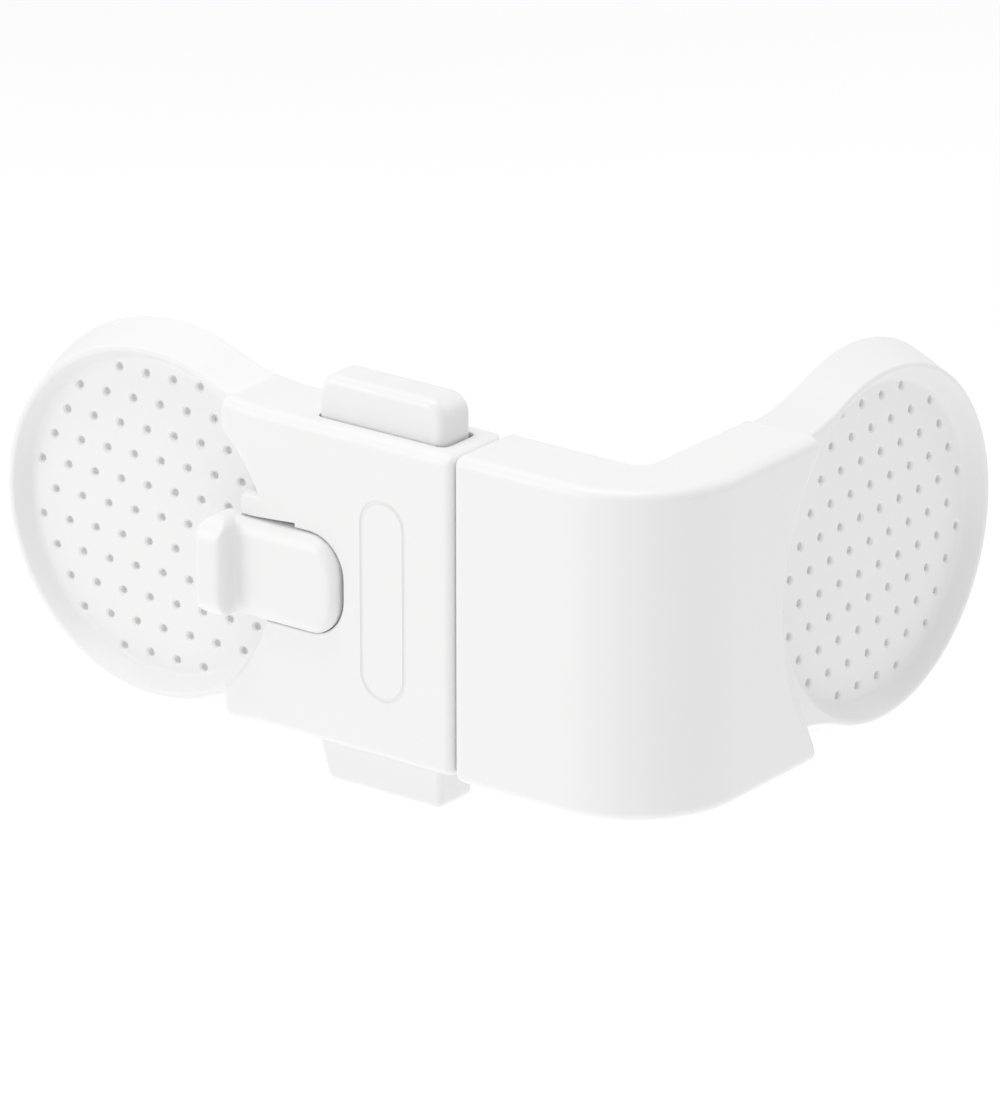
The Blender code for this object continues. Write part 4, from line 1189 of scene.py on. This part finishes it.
@dataclass
class LatchHousing:
    """The left half: the pad and the hollow block that holds buttons, slider and latch."""

    pad: PadForm
    length: float = 50.0 * MM
    block_start: float = 14.5 * MM
    scoop_radius: float = 22.27 * MM
    hollow_scoop: float = 22.2 * MM
    wall: float = WALL
    cover: float = 1.7 * MM
    edge_round: float = 1.45 * MM
    seam_round: float = 1.1 * MM
    horn_round: float = 1.6 * MM
    panel_half: Point = (3.2 * MM, 12.7 * MM)
    panel_centre: float = 39.8 * MM
    panel_groove: float = 0.35 * MM
    panel_lift: float = 0.1225 * MM
    pocket_right: float = 33.7 * MM
    pocket_half: float = 6.55 * MM
    pocket_round: float = 5.25 * MM
    pocket_depth: float = 2.0 * MM
    pocket_floor: float = 1.4 * MM
    mouth_roll: float = 0.25 * MM
    relief: Point = (18.9 * MM, 26.4 * MM)
    shoulder: tuple[Point, Point] = ((17.6 * MM, 5.2 * MM), (23.6 * MM, 9.7 * MM))
    shoulder_corners: Point = (1.6 * MM, 1.4 * MM)
    shoulder_roll: float = 1.0 * MM
    shoulder_foot: float = 3.9 * MM
    relief_rise: float = 0.6 * MM
    slot_left: float = 24.0 * MM
    slot_half: float = 3.3 * MM
    opening: Point = (27.8 * MM, 47.4 * MM)
    opening_fronts: Point = (8.4 * MM, 8.95 * MM)
    opening_round: float = 1.1 * MM
    screws: tuple[Point, ...] = ((28.6 * MM, 11.5 * MM), (28.6 * MM, -11.5 * MM), (46.2 * MM, 0.0))
    spring_rib: tuple[Point, float, Point] = ((31.8 * MM, 36.2 * MM), 2.3 * MM, (9.2 * MM, 10.4 * MM))
    latch_block: tuple[Point, float, Point] = ((24.6 * MM, 29.0 * MM), 6.0 * MM, (5.0 * MM, 8.9 * MM))

    def block(self) -> Outline:
        """Draw the block: its waist on the left and straight sides to the seam.

        Returns:
            The outline.
        """
        centre = self.pad.waist_centre()
        half, waist, horn = self.pad.half_height, self.pad.waist_round, self.horn_round
        start = (self.block_start + horn + horn * centre[0] / waist) / (1 + horn / waist)
        lean = math.asin((centre[0] - start) / waist)
        turn = math.degrees(lean)
        tip = (self.block_start + horn, centre[1] - (waist + horn) * math.cos(lean))
        return (
            Outline((self.length, -half))
            .line((self.length, half), (centre[0], half))
            .arc(centre, -turn, 10)
            .arc(tip, 90 + turn, 8)
            .line((self.block_start, -tip[1]))
            .arc((tip[0], -tip[1]), 90 + turn, 8)
            .arc((centre[0], -centre[1]), -turn, 10)
        )

    def hollow(self, inset: float = 0.0) -> Outline:
        """Draw the inside of the block, round the scoop at the left.

        Args:
            inset: How far the outline stays inside the wall.

        Returns:
            The outline.
        """
        top = self.pad.half_height - self.wall - inset
        left = self.block_start + self.wall + inset
        right = self.length - self.wall - inset
        radius = self.hollow_scoop + self.wall + inset
        tip = math.acos(left / radius)
        low = (left, -radius * math.sin(tip))
        return (
            Outline(low)
            .arc((0.0, 0.0), math.degrees(2 * tip), 40)
            .line((left, top), (right, top), (right, -top), (left, -top))
        )

    def panel_tube(self) -> Solid:
        """Make the round cutter that draws the bare panel's groove: a circle led round the panel.

        Returns:
            The closed solid.
        """
        half, tall = self.panel_half
        rise = tall - half
        lift = self.pad.front + self.panel_lift
        shape = bmesh.new()
        start = Matrix.Translation((half, -rise, 0.0)) @ Matrix.Rotation(math.pi / 2, 4, "X")
        bmesh.ops.create_circle(shape, segments=12, radius=self.panel_groove, matrix=start)
        ring = shape.edges[:]
        for end in (rise, -rise):
            for turn, climb, steps in ((0.0, 2 * end, 1), (math.pi, 0.0, 24)):
                led = bmesh.ops.spin(
                    shape,
                    geom=ring,
                    cent=(0.0, end, 0.0),
                    axis=(0.0, 0.0, 1.0),
                    dvec=(0.0, climb, 0.0),
                    angle=turn,
                    steps=steps,
                )
                ring = [item for item in led["geom_last"] if isinstance(item, bmesh.types.BMEdge)]
        bmesh.ops.remove_doubles(shape, verts=shape.verts, dist=MERGE)
        bmesh.ops.translate(shape, verts=shape.verts, vec=(self.panel_centre, 0.0, lift))
        bmesh.ops.recalc_face_normals(shape, faces=shape.faces)
        return shape

    def build(self) -> None:
        """Make the housing's shell."""
        pad, length = self.pad, self.length
        low = pad.back + JOIN_STEP
        mesh = as_mesh("housing_shell", plain_slab(self.block(), low, pad.front), Place.HOUSING)
        piece = Workpiece("housing_shell", mesh)
        piece.weigh(lambda co: abs(co.y + pad.front) < MERGE)
        piece.weigh(lambda co: abs(co.x - length) < MERGE, self.seam_round / self.edge_round)
        piece.round_edges(self.edge_round, 8)
        piece.join(pad.plate_solid(pad.waist_centre()[0] + OVERRUN), Place.HOUSING)
        piece.cut(plain_slab(self.hollow(), pad.back - OVERRUN, pad.front - self.wall), Place.HOUSING)
        self.add_pocket_block(piece)
        self.add_seats(piece)
        add_posts(piece, Place.HOUSING, self.screws)
        pad.hollow_out(piece, Place.HOUSING, self.scoop_radius, self.scoop_radius)
        self.add_shoulder(piece)
        self.cut_pocket(piece)
        self.cut_openings(piece)
        piece.cut(self.panel_tube(), Place.HOUSING)
        finish_piece(piece.settle(), "housing", WHITE, "lock_housing")

    def add_pocket_block(self, piece: Workpiece) -> None:
        """Stand the slider pocket's walls and floor in the hollow.

        Args:
            piece: The shell.
        """
        inner = self.pad.front - self.wall
        floor = self.pad.front - self.pocket_depth - self.pocket_floor
        half = self.pocket_half + self.wall
        across = (self.hollow_scoop, self.pocket_right + self.wall)
        piece.join(box(across, (-inner - FIT_GAP, -floor), (-half, half)))

    def add_shoulder(self, piece: Workpiece) -> None:
        """Stand the soft shoulder above the slider, where the pocket's wall runs on into the recess.

        Args:
            piece: The shell.
        """
        roll = self.shoulder_roll
        outline = rounded_box(*self.shoulder, *self.shoulder_corners, 6)
        rise = self.pad.front - JOIN_STEP - roll - self.shoulder_foot
        piece.join(slab(outline, self.shoulder_foot, [(0.0, rise), *round_over(roll, 6)]), Place.HOUSING)

    def add_seats(self, piece: Workpiece) -> None:
        """Stand the ribs that carry the button springs, and the latch arms' blocks.

        Args:
            piece: The shell.
        """
        front = -POST_ENDS[1]
        for side in Side:
            sign = side.value
            for across, back, (low, high) in (self.spring_rib, self.latch_block):
                piece.join(box(across, (front, -back), (low * sign, high * sign)))

    def cut_pocket(self, piece: Workpiece) -> None:
        """Sink the slider's pocket with a softened mouth, and the slot for its stem.

        Args:
            piece: The shell.
        """
        spread, lift, flare = flared_mouth(self.mouth_roll)
        mouth = rounded_box(
            (self.block_start - OVERRUN, -self.pocket_half - spread),
            (self.pocket_right + spread, self.pocket_half + spread),
            FIT_GAP,
            self.pocket_round + spread,
        )
        front = self.pad.front
        down = [*flare, (0.0, self.pocket_depth - self.mouth_roll)]
        piece.cut(slab(mouth, front + lift, [(0.0, OVERRUN)], down), Place.HOUSING)
        left, right = self.relief
        low = self.pocket_half - JOIN_STEP
        high = low + self.relief_rise
        wedge = Outline((left, low)).line((right, low), (right, high), (right - FIT_GAP, high))
        floor = front - self.pocket_depth
        piece.cut(plain_slab(wedge, floor - FIT_GAP, front + OVERRUN), Place.HOUSING)
        through = (-floor - OVERRUN, -floor + self.pocket_floor + OVERRUN)
        piece.cut(box((self.slot_left, self.pocket_right), through, (-self.slot_half, self.slot_half)))

    def cut_openings(self, piece: Workpiece) -> None:
        """Open the walls for the buttons and for the fork's prongs.

        Args:
            piece: The shell.
        """
        inside = self.pad.half_height - self.wall - OVERRUN
        outside = self.pad.half_height + OVERRUN
        for side, front in zip(Side, self.opening_fronts):
            sign = side.value
            left, right = self.opening
            low, high = (left, -front), (right, -self.pad.back - self.cover)
            hole = rounded_box(low, high, self.opening_round, self.opening_round, 6)
            start, end = sorted((inside * sign, outside * sign))
            piece.cut(plain_slab(hole, start, end))
            cut_prong_slot(piece, side, self.length - self.wall - OVERRUN, self.length + OVERRUN)


@dataclass
class StrikeArm:
    """The right half: the L-shaped shell with its pad on the side leg."""

    pad: PadForm
    start: float = 50.25 * MM
    edge: float = CABINET_EDGE
    pad_distance: float = ARM_PAD_DISTANCE
    half_height: float = 20.9 * MM
    outer_round: float = 14.7 * MM
    inner_round: float = 2.5 * MM
    scoop_foot: float = 22.27 * MM
    scoop_top: float = 28.4 * MM
    hollow_length: float = 11.4 * MM
    wall: float = WALL
    edge_round: float = 1.45 * MM
    seam_round: float = 1.2 * MM
    front_screws: tuple[Point, ...] = ((56.1 * MM, 14.6 * MM), (56.1 * MM, -14.6 * MM))
    side_screws: tuple[Point, ...] = ((34.2 * MM, 14.6 * MM), (34.2 * MM, -14.6 * MM))
    fork_screws: tuple[Point, ...] = ((57.6 * MM, 5.5 * MM), (57.6 * MM, -5.5 * MM))
    fork_post_ends: Point = (6.0 * MM, 9.3 * MM)

    def profile(self) -> Outline:
        """Draw the arm seen from above: front leg, corner and side leg.

        Returns:
            The outline.
        """
        pad = self.pad
        side, inside = self.edge + pad.front, self.edge + pad.back + JOIN_STEP
        end = self.pad_distance - pad.waist_centre()[0]
        return (
            Outline((self.start, -pad.front))
            .line((side - self.outer_round, -pad.front))
            .arc((side - self.outer_round, self.outer_round - pad.front), 90, 36)
            .line((side, end), (inside, end), (inside, self.inner_round - pad.back))
            .arc((inside - self.inner_round, self.inner_round - pad.back), -90, 12)
            .line((self.start, -pad.back))
        )

    def hollow(self) -> Outline:
        """Draw the space inside the front leg and the corner.

        Returns:
            The outline.
        """
        pad = self.pad
        inner = pad.front - self.wall
        left = self.start + self.wall
        side, inside = self.edge + inner, self.edge + pad.back - OVERRUN
        radius = self.outer_round - self.wall
        return (
            Outline((left, -inner))
            .line((side - radius, -inner))
            .arc((side - radius, radius - inner), 90, 24)
            .line((side, self.hollow_length), (inside, self.hollow_length))
            .line((inside, OVERRUN - pad.back), (left, OVERRUN - pad.back))
        )

    def build(self) -> None:
        """Make the arm's shell."""
        pad, start, half = self.pad, self.start, self.half_height
        mesh = as_mesh("arm_shell", plain_slab(self.profile(), -half, half))
        piece = Workpiece("arm_shell", mesh)
        reach = pad.front / 2
        edge = self.edge
        for level in (-half, half):
            piece.weigh(lambda co: abs(co.z - level) < MERGE and (co.y < -reach or co.x > edge + reach))
        piece.weigh(lambda co: abs(co.x - start) < MERGE, self.seam_round / self.edge_round)
        piece.round_edges(self.edge_round, 8)
        neck_end = pad.waist_centre()[0] + 2 * self.wall
        piece.join(pad.plate_solid(neck_end), Place.ARM_PAD)
        inner = pad.half_height - self.wall
        piece.cut(plain_slab(self.hollow(), -inner, inner))
        add_posts(piece, Place.HOUSING, self.front_screws)
        add_posts(piece, Place.ARM_PAD, self.side_screws)
        add_posts(piece, Place.HOUSING, self.fork_screws, self.fork_post_ends)
        pad.hollow_out(piece, Place.ARM_PAD, self.scoop_foot, self.scoop_top)
        for side in Side:
            cut_prong_slot(piece, side, start - OVERRUN, start + self.wall + OVERRUN)
        finish_piece(piece.settle(), "arm", WHITE, "strike_arm")


@dataclass(frozen=True)
class CapForm:
    """Sizes in which the two button caps differ."""

    corners: Point
    slant: float
    front: float
    roll: float


CAP_FORMS = {
    Side.TOP: CapForm(corners=(1.9 * MM, 2.7 * MM), slant=0.35 * MM, front=8.2 * MM, roll=1.25 * MM),
    Side.BOTTOM: CapForm(corners=(1.4 * MM, 1.1 * MM), slant=1.35 * MM, front=8.8 * MM, roll=0.8 * MM),
}


@dataclass
class SqueezeButton:
    """A button's cap, the flange that keeps it in and the leg that pushes its latch arm."""

    side: Side
    left: float = 27.9 * MM
    right: float = 46.95 * MM
    foot: float = 18.15 * MM
    shell: float = SHELL_HALF_HEIGHT
    proud: float = 5.45 * MM
    back: float = 2.3 * MM
    flange: tuple[Point, Point, Point] = (
        (26.8 * MM, 47.9 * MM),
        (-8.7 * MM, -2.6 * MM),
        (16.95 * MM, 18.45 * MM),
    )
    leg: tuple[Point, Point, Point] = (
        (40.8 * MM, 44.3 * MM),
        (-8.7 * MM, -6.0 * MM),
        (7.7 * MM, 17.25 * MM),
    )

    @property
    def form(self) -> CapForm:
        """Sizes of this side's cap."""
        return CAP_FORMS[self.side]

    def face(self) -> Outline:
        """Draw the cap's face: its left end slants, and its outer corners are round.

        Returns:
            The outline.
        """
        top = self.shell + self.proud
        left, right = self.form.corners
        lean = math.atan2(self.form.slant, self.proud - left)
        middle = (self.left + self.form.slant + left, top - left)
        return (
            Outline((self.left, self.foot))
            .line((self.right, self.foot), (self.right, top - right))
            .arc((self.right - right, top - right), 90, 12)
            .line((middle[0], top))
            .arc(middle, 90 - math.degrees(lean), 12)
            .line((self.left, self.shell))
        )

    def build(self) -> None:
        """Make the button."""
        body = f"{self.side.label}_button"
        roll = self.form.roll
        up = [(0.0, self.form.front - self.back - 2 * roll), *round_over(roll, 8)]
        shape = slab(self.face(), self.back + roll, up, round_over(roll, 6))
        if self.side is Side.BOTTOM:
            bmesh.ops.scale(shape, vec=(1.0, -1.0, 1.0), verts=shape.verts)
        piece = Workpiece(f"{self.side.label}_button_cap", as_mesh("cap", shape, Place.HOUSING))
        sign = self.side.value
        for across, depth, (low, high) in (self.flange, self.leg):
            piece.join(box(across, depth, (low * sign, high * sign)))
        finish_piece(piece.settle(), body, TOUCH, body)


@dataclass
class ThumbSlider:
    """The thumb slider: a low soft-edged plate with a raised lip at its left end, on a stem."""

    left: float = 14.0 * MM
    right: float = 33.2 * MM
    half: float = 6.4 * MM
    sag: float = 0.05 * MM
    bottom: float = 9.1 * MM
    plate: float = 12.2 * MM
    lip: float = 15.2 * MM
    lip_width: float = 4.2 * MM
    lip_corners: Point = (1.8 * MM, 1.5 * MM)
    left_round: float = 2.6 * MM
    right_round: float = 4.5 * MM
    crown: Point = (1.5 * MM, 1.3 * MM)
    plate_ends: Point = (1.9 * MM, 2.7 * MM)
    lip_crown: Point = (1.1 * MM, 0.9 * MM)
    lip_ends: Point = (3.1 * MM, 3.2 * MM)
    fillet: float = 0.7 * MM
    fillet_overlap: float = 0.8 * MM
    grid: float = 0.16 * MM
    smoothings: int = 18
    stem: tuple[Point, Point, Point] = (
        (29.3 * MM, 32.9 * MM),
        (-9.4 * MM, -7.55 * MM),
        (-3.0 * MM, 3.0 * MM),
    )

    def pillow(self, top: float, ends: Point) -> Solid:
        """Make a solid that rounds off what it is crossed with above and below.

        Args:
            top: Depth of its crest.
            ends: Height and width of its rounded ends.

        Returns:
            The closed solid.
        """
        drop, spread = ends
        left, right = self.left - 2 * spread, self.right + 2 * spread
        low, high = -self.half - self.sag - JOIN_STEP, self.half - self.sag + JOIN_STEP
        outline = Outline((left, low)).line((right, low), (right, high), (left, high), (left, low))
        foot = self.bottom - OVERRUN
        return slab(outline, foot, [(0.0, top + 3 * JOIN_STEP - drop - foot), *round_over(drop, 12, spread)])

    def crowned(
        self, name: str, face: Outline, low: float, top: float, crown: Point, ends: Point, steps: int
    ) -> Workpiece:
        """Make a slab with a soft crown, whose ends fall away above and below.

        Args:
            name: Name of the piece.
            face: Its outline.
            low: Depth at which it starts.
            top: Depth of its crest.
            crown: Height and width of its rounded edge.
            ends: Height and width of its rounded ends.
            steps: Number of steps round its edge.

        Returns:
            The workpiece.
        """
        height, width = crown
        rise = top - self.bottom - height
        shape = slab(face, low, [(0.0, rise), *round_over(height, steps, width)])
        piece = Workpiece(name, as_mesh(name, shape, Place.HOUSING))
        return piece.combine(self.pillow(top, ends), Place.HOUSING, "INTERSECT")

    def build(self) -> None:
        """Make the slider: two crowned slabs and a fillet, blended into one soft form."""
        low, high = -self.half - self.sag, self.half - self.sag
        face = rounded_box((self.left, low), (self.right, high), self.left_round, self.right_round)
        piece = self.crowned("slider_cap", face, self.bottom, self.plate, self.crown, self.plate_ends, 10)
        wall = self.left + self.lip_width
        start, end = (self.left + JOIN_STEP, low + JOIN_STEP), (wall, high - JOIN_STEP)
        face = rounded_box(start, end, *self.lip_corners, 8)
        foot = self.bottom + JOIN_STEP
        block = self.crowned("slider_lip", face, foot, self.lip, self.lip_crown, self.lip_ends, 8)
        piece.join(block.hand_over())
        foot, face_depth = self.fillet, -self.plate
        fillet = (
            Outline((wall - OVERRUN, face_depth + OVERRUN))
            .line((wall + foot, face_depth + OVERRUN), (wall + foot, face_depth))
            .arc((wall + foot, face_depth - foot), 90, 8)
            .line((wall - OVERRUN, face_depth - foot))
        )
        inner = self.half - self.plate_ends[1] + self.fillet_overlap
        piece.join(plain_slab(fillet, -inner, inner))
        piece.bake()
        piece.soften(self.grid, self.smoothings)
        piece.join(box(*self.stem))
        finish_piece(piece.settle(), "slider", TOUCH, "thumb_slider")


@dataclass
class CadCopy:
    """A CAD piece whose shape is right: its edges are broken, and it gets a real finish."""

    node: str
    body: str | None
    finish: Finish
    width: float = 0.15 * MM

    def build(self) -> bpy.types.Object:
        """Copy the node, merge it, and round its sharp edges.

        Returns:
            The finished object.
        """
        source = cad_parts[self.node]
        shape = bmesh.new()
        shape.from_mesh(source.data)
        bmesh.ops.remove_doubles(shape, verts=shape.verts, dist=CAD_MERGE)
        flat = math.radians(1.0)
        bmesh.ops.dissolve_limit(shape, angle_limit=flat, verts=shape.verts, edges=shape.edges)
        piece = Workpiece(f"{self.node}_detail", as_mesh(self.node, shape))
        piece.round_edges(self.width, 2, by_weight=False)
        item = piece.settle()
        finish_piece(item, self.body, self.finish, self.node)
        return item


@dataclass
class LatchArm:
    """A springy latch arm: it is screwed down at its left end, and its button bends its free end."""

    side: Side
    fixed: float = 29.0 * MM
    free: float = 47.0 * MM
    cuts: int = 12

    def build(self) -> None:
        """Make the arm, with rows of edges across its beam so that it can bend."""
        node = f"{self.side.label}_latch_arm"
        item = CadCopy(node, None, ACETAL).build()
        shape = bmesh.new()
        shape.from_mesh(item.data)
        for number in range(self.cuts + 1):
            across = self.fixed + (self.free - self.fixed) * number / self.cuts
            everything = shape.verts[:] + shape.edges[:] + shape.faces[:]
            bmesh.ops.bisect_plane(
                shape, geom=everything, plane_co=(across, 0.0, 0.0), plane_no=(1.0, 0.0, 0.0)
            )
        shape.to_mesh(item.data)
        shape.free()
        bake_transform(item)


@dataclass
class Tape:
    """A foam adhesive disc with a soft cut edge."""

    pad: PadForm
    node: str
    body: str
    place: Place
    edge: float = 0.15 * MM

    def build(self) -> None:
        """Make the disc."""
        radius = self.pad.tape_radius
        rise = self.pad.tape_thickness - 2 * self.edge
        outline = Outline((radius, 0.0)).arc((0.0, 0.0), 360, 128)
        shape = slab(outline, self.edge, [(0.0, rise), *round_over(self.edge, 3)], round_over(self.edge, 3))
        piece = Workpiece(f"{self.node}_disc", as_mesh(self.node, shape, self.place))
        finish_piece(piece.settle(), self.body, FOAM, self.node)


@dataclass
class Screw:
    """A countersunk screw with a cross recess and a thread, where its CAD node stands."""

    node: str
    body: str
    place: Place = Place.HOUSING
    head: float = 1.6 * MM
    shank: float = 0.8 * MM
    root: float = 0.6 * MM
    head_height: float = 1.1 * MM
    edge: float = 0.12 * MM
    pitch: float = 0.5 * MM
    thread: tuple[float, float, float] = (0.3, 0.45, 0.75)
    cross: Point = (1.15 * MM, 0.22 * MM)
    cross_taper: float = 0.12 * MM
    cross_depth: float = 0.7 * MM

    def build(self) -> None:
        """Make the screw."""
        ends = [self.place.value.inverted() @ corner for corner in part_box(self.node)]
        low, high = sorted(end.z for end in ends)
        middle = (ends[0] + ends[1]) / 2
        profile = Outline((0.0, low)).line((self.head - self.edge, low), (self.head, low + self.edge))
        profile.line((self.shank, low + self.head_height))
        depth = low + self.head_height + self.pitch
        rise, crest, fall = (share * self.pitch for share in self.thread)
        while depth + self.pitch < high - self.shank:
            profile.line((self.root, depth), (self.shank, depth + rise))
            profile.line((self.shank, depth + crest), (self.root, depth + fall))
            depth += self.pitch
        profile.line((self.root, depth), (0.0, high))
        shape = turned(profile, 28)
        bmesh.ops.translate(shape, verts=shape.verts, vec=(middle.x, middle.y, 0.0))
        piece = Workpiece(f"{self.node}_detail", as_mesh(self.node, shape, self.place))
        long, short = self.cross
        plus = Outline((long, -short)).line((long, short), (short, short), (short, long), (-short, long))
        plus.line((-short, short), (-long, short), (-long, -short), (-short, -short))
        plus.line((-short, -long), (short, -long), (short, -short))
        steps = [(self.cross_taper, self.cross_depth)]
        bmesh.ops.translate(plus.shape, verts=plus.shape.verts, vec=(middle.x, middle.y, 0.0))
        recess = slab(plus, low - self.edge, steps, [(0.0, self.edge)])
        piece.cut(recess, self.place)
        finish_piece(piece.settle(), self.body, STEEL, self.node)


@dataclass
class ReturnSpring:
    """A button's return spring: closed end turns and open turns between them."""

    side: Side
    wire: float = 0.45 * MM
    travel: float = 2.6 * MM
    turns: int = 5
    steps: int = 28

    def build(self) -> None:
        """Make the spring where its CAD node stands."""
        node = f"{self.side.label}_button_spring"
        low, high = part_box(node)
        middle = (low + high) / 2
        thick = self.wire / 2
        radius = (high.x - low.x) / 2 - thick
        shape = bmesh.new()
        start = Matrix.Translation((radius, 0.0, low.z + thick)) @ Matrix.Rotation(math.pi / 2, 4, "X")
        bmesh.ops.create_circle(shape, segments=12, radius=thick, matrix=start)
        ring = shape.edges[:]
        room = high.z - low.z - self.wire
        open_rise = (room - 2 * self.wire) / (self.turns - 2)
        for turns, rise in ((1, self.wire), (self.turns - 2, open_rise), (1, self.wire)):
            wound = bmesh.ops.spin(
                shape,
                geom=ring,
                cent=(0.0, 0.0, 0.0),
                axis=(0.0, 0.0, 1.0),
                dvec=(0.0, 0.0, rise / self.steps),
                angle=math.tau * turns,
                steps=self.steps * turns,
            )
            ring = [item for item in wound["geom_last"] if isinstance(item, bmesh.types.BMEdge)]
        bmesh.ops.remove_doubles(shape, verts=shape.verts, dist=MERGE)
        bmesh.ops.holes_fill(shape, edges=shape.edges)
        bmesh.ops.translate(shape, verts=shape.verts, vec=(middle.x, middle.y, 0.0))
        item = Workpiece(f"{node}_detail", as_mesh(node, shape)).settle()
        finish_piece(item, "housing", STEEL, node)
        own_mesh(item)


# Studio


@dataclass(frozen=True)
class Lamp:
    """A soft square lamp that looks at the object."""

    name: str
    place: tuple[float, float, float]
    size: float
    power: float

    def hang(self, aim: Vector) -> None:
        """Hang the lamp.

        Args:
            aim: Point that it looks at.
        """
        data = bpy.data.lights.new(self.name, "AREA")
        data.size = self.size
        data.energy = self.power
        lamp = bpy.data.objects.new(self.name, data)
        bpy.context.scene.collection.objects.link(lamp)
        lamp.location = self.place
        lamp.rotation_euler = (Vector(self.place) - aim).to_track_quat("Z", "Y").to_euler()


@dataclass
class Studio:
    """The camera at the photograph's angle, the pale floor and the soft lights."""

    aim: tuple[float, float, float] = (57.84 * MM, -11.40 * MM, 10.96 * MM)
    back: tuple[float, float, float] = (0.56298, -0.74813, 0.35121)
    distance: float = 945.17 * MM
    lens: float = 261.8
    sensor: float = 36.0
    far_clip: float = 20.0
    floor_size: float = 8.0
    floor_depth: float = 0.35
    floor_glow: float = 0.25
    sky: float = 0.656
    lamps: tuple[Lamp, ...] = (
        Lamp("overhead_lamp", (-0.10, -0.10, 1.00), 0.6, 4.0),
        Lamp("front_left_lamp", (-0.60, -0.90, 0.35), 0.6, 2.67),
        Lamp("right_lamp", (1.00, -0.30, 0.20), 0.6, 0.32),
        Lamp("back_lamp", (0.30, 0.90, 0.60), 0.6, 1.5),
    )

    def camera(self) -> None:
        """Set up the camera."""
        data = bpy.data.cameras.new("Camera")
        data.lens = self.lens
        data.sensor_width = self.sensor
        data.clip_end = self.far_clip
        camera = bpy.data.objects.new("Camera", data)
        bpy.context.scene.collection.objects.link(camera)
        back = Vector(self.back).normalized()
        camera.location = Vector(self.aim) + back * self.distance
        camera.rotation_euler = back.to_track_quat("Z", "Y").to_euler()
        bpy.context.scene.camera = camera

    def floor(self) -> None:
        """Lay a large pale floor well below the object."""
        shape = bmesh.new()
        bmesh.ops.create_grid(shape, x_segments=1, y_segments=1, size=self.floor_size)
        mesh = as_mesh("studio_floor", shape)
        mesh.transform(Matrix.Translation((0.0, 0.0, -self.floor_depth)))
        floor = bpy.data.objects.new("studio_floor", mesh)
        bpy.context.scene.collection.objects.link(floor)
        material = bpy.data.materials.new("pale_floor")
        material.use_nodes = True
        tree = material.node_tree
        shader = tree.nodes["Principled BSDF"]
        where = add_node(tree, "ShaderNodeTexCoord").outputs["Object"]
        mottle = spread(tree, noise(tree, where, 3.0, 2.0), (0.3, 0.7), 0.0, 1.0)
        colour = mix_colours(tree, mottle, (0.97, 0.97, 0.97, 1.0), (0.99, 0.99, 0.99, 1.0))
        feed(tree, shader, Base_Color=colour, Roughness=0.9)
        feed(tree, shader, Emission_Color=(1.0, 1.0, 1.0, 1.0), Emission_Strength=self.floor_glow)
        mesh.materials.append(material)

    def build(self) -> None:
        """Set up camera, floor, world and lamps."""
        self.camera()
        self.floor()
        world = bpy.data.worlds.new("Studio")
        world.use_nodes = True
        sky = world.node_tree.nodes["Background"]
        feed(world.node_tree, sky, Color=(1.0, 1.0, 1.0, 1.0), Strength=self.sky)
        bpy.context.scene.world = world
        bpy.context.scene.view_settings.view_transform = "Standard"
        for lamp in self.lamps:
            lamp.hang(Vector(self.aim))
        LOG.info("studio: camera %.0f mm lens, %.0f mm away", self.lens, self.distance / MM)


def main() -> None:
    """Build every piece, make finished copies of the CAD nodes whose shape is right, and set up the studio.
    """
    logging.basicConfig(level=logging.INFO, format="%(message)s")
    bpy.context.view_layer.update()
    pad = PadForm()
    LatchHousing(pad).build()
    StrikeArm(pad).build()
    for side in Side:
        SqueezeButton(side).build()
    ThumbSlider().build()
    Tape(pad, "housing_tape", "housing", Place.HOUSING).build()
    Tape(pad, "arm_tape", "arm", Place.ARM_PAD).build()
    for side in Side:
        ReturnSpring(side).build()
        LatchArm(side).build()
        Screw(f"{side.label}_latch_screw", "housing").build()
    CadCopy("housing_back_cover", "housing", WHITE).build()
    CadCopy("arm_inner_cover", "arm", WHITE).build()
    CadCopy("lock_plate", "slider", ACETAL).build()
    CadCopy("strike_fork", "arm", ACETAL).build()
    Screw("slider_screw", "slider").build()
    for number in (1, 2, 3):
        Screw(f"housing_cover_screw_{number}", "housing").build()
    for number in (1, 2):
        Screw(f"arm_cover_screw_{number}", "arm").build()
        Screw(f"arm_cover_screw_{number + 2}", "arm", Place.ARM_PAD).build()
        Screw(f"fork_screw_{number}", "arm").build()
    Studio().build()


if __name__ == "__main__":
    main()
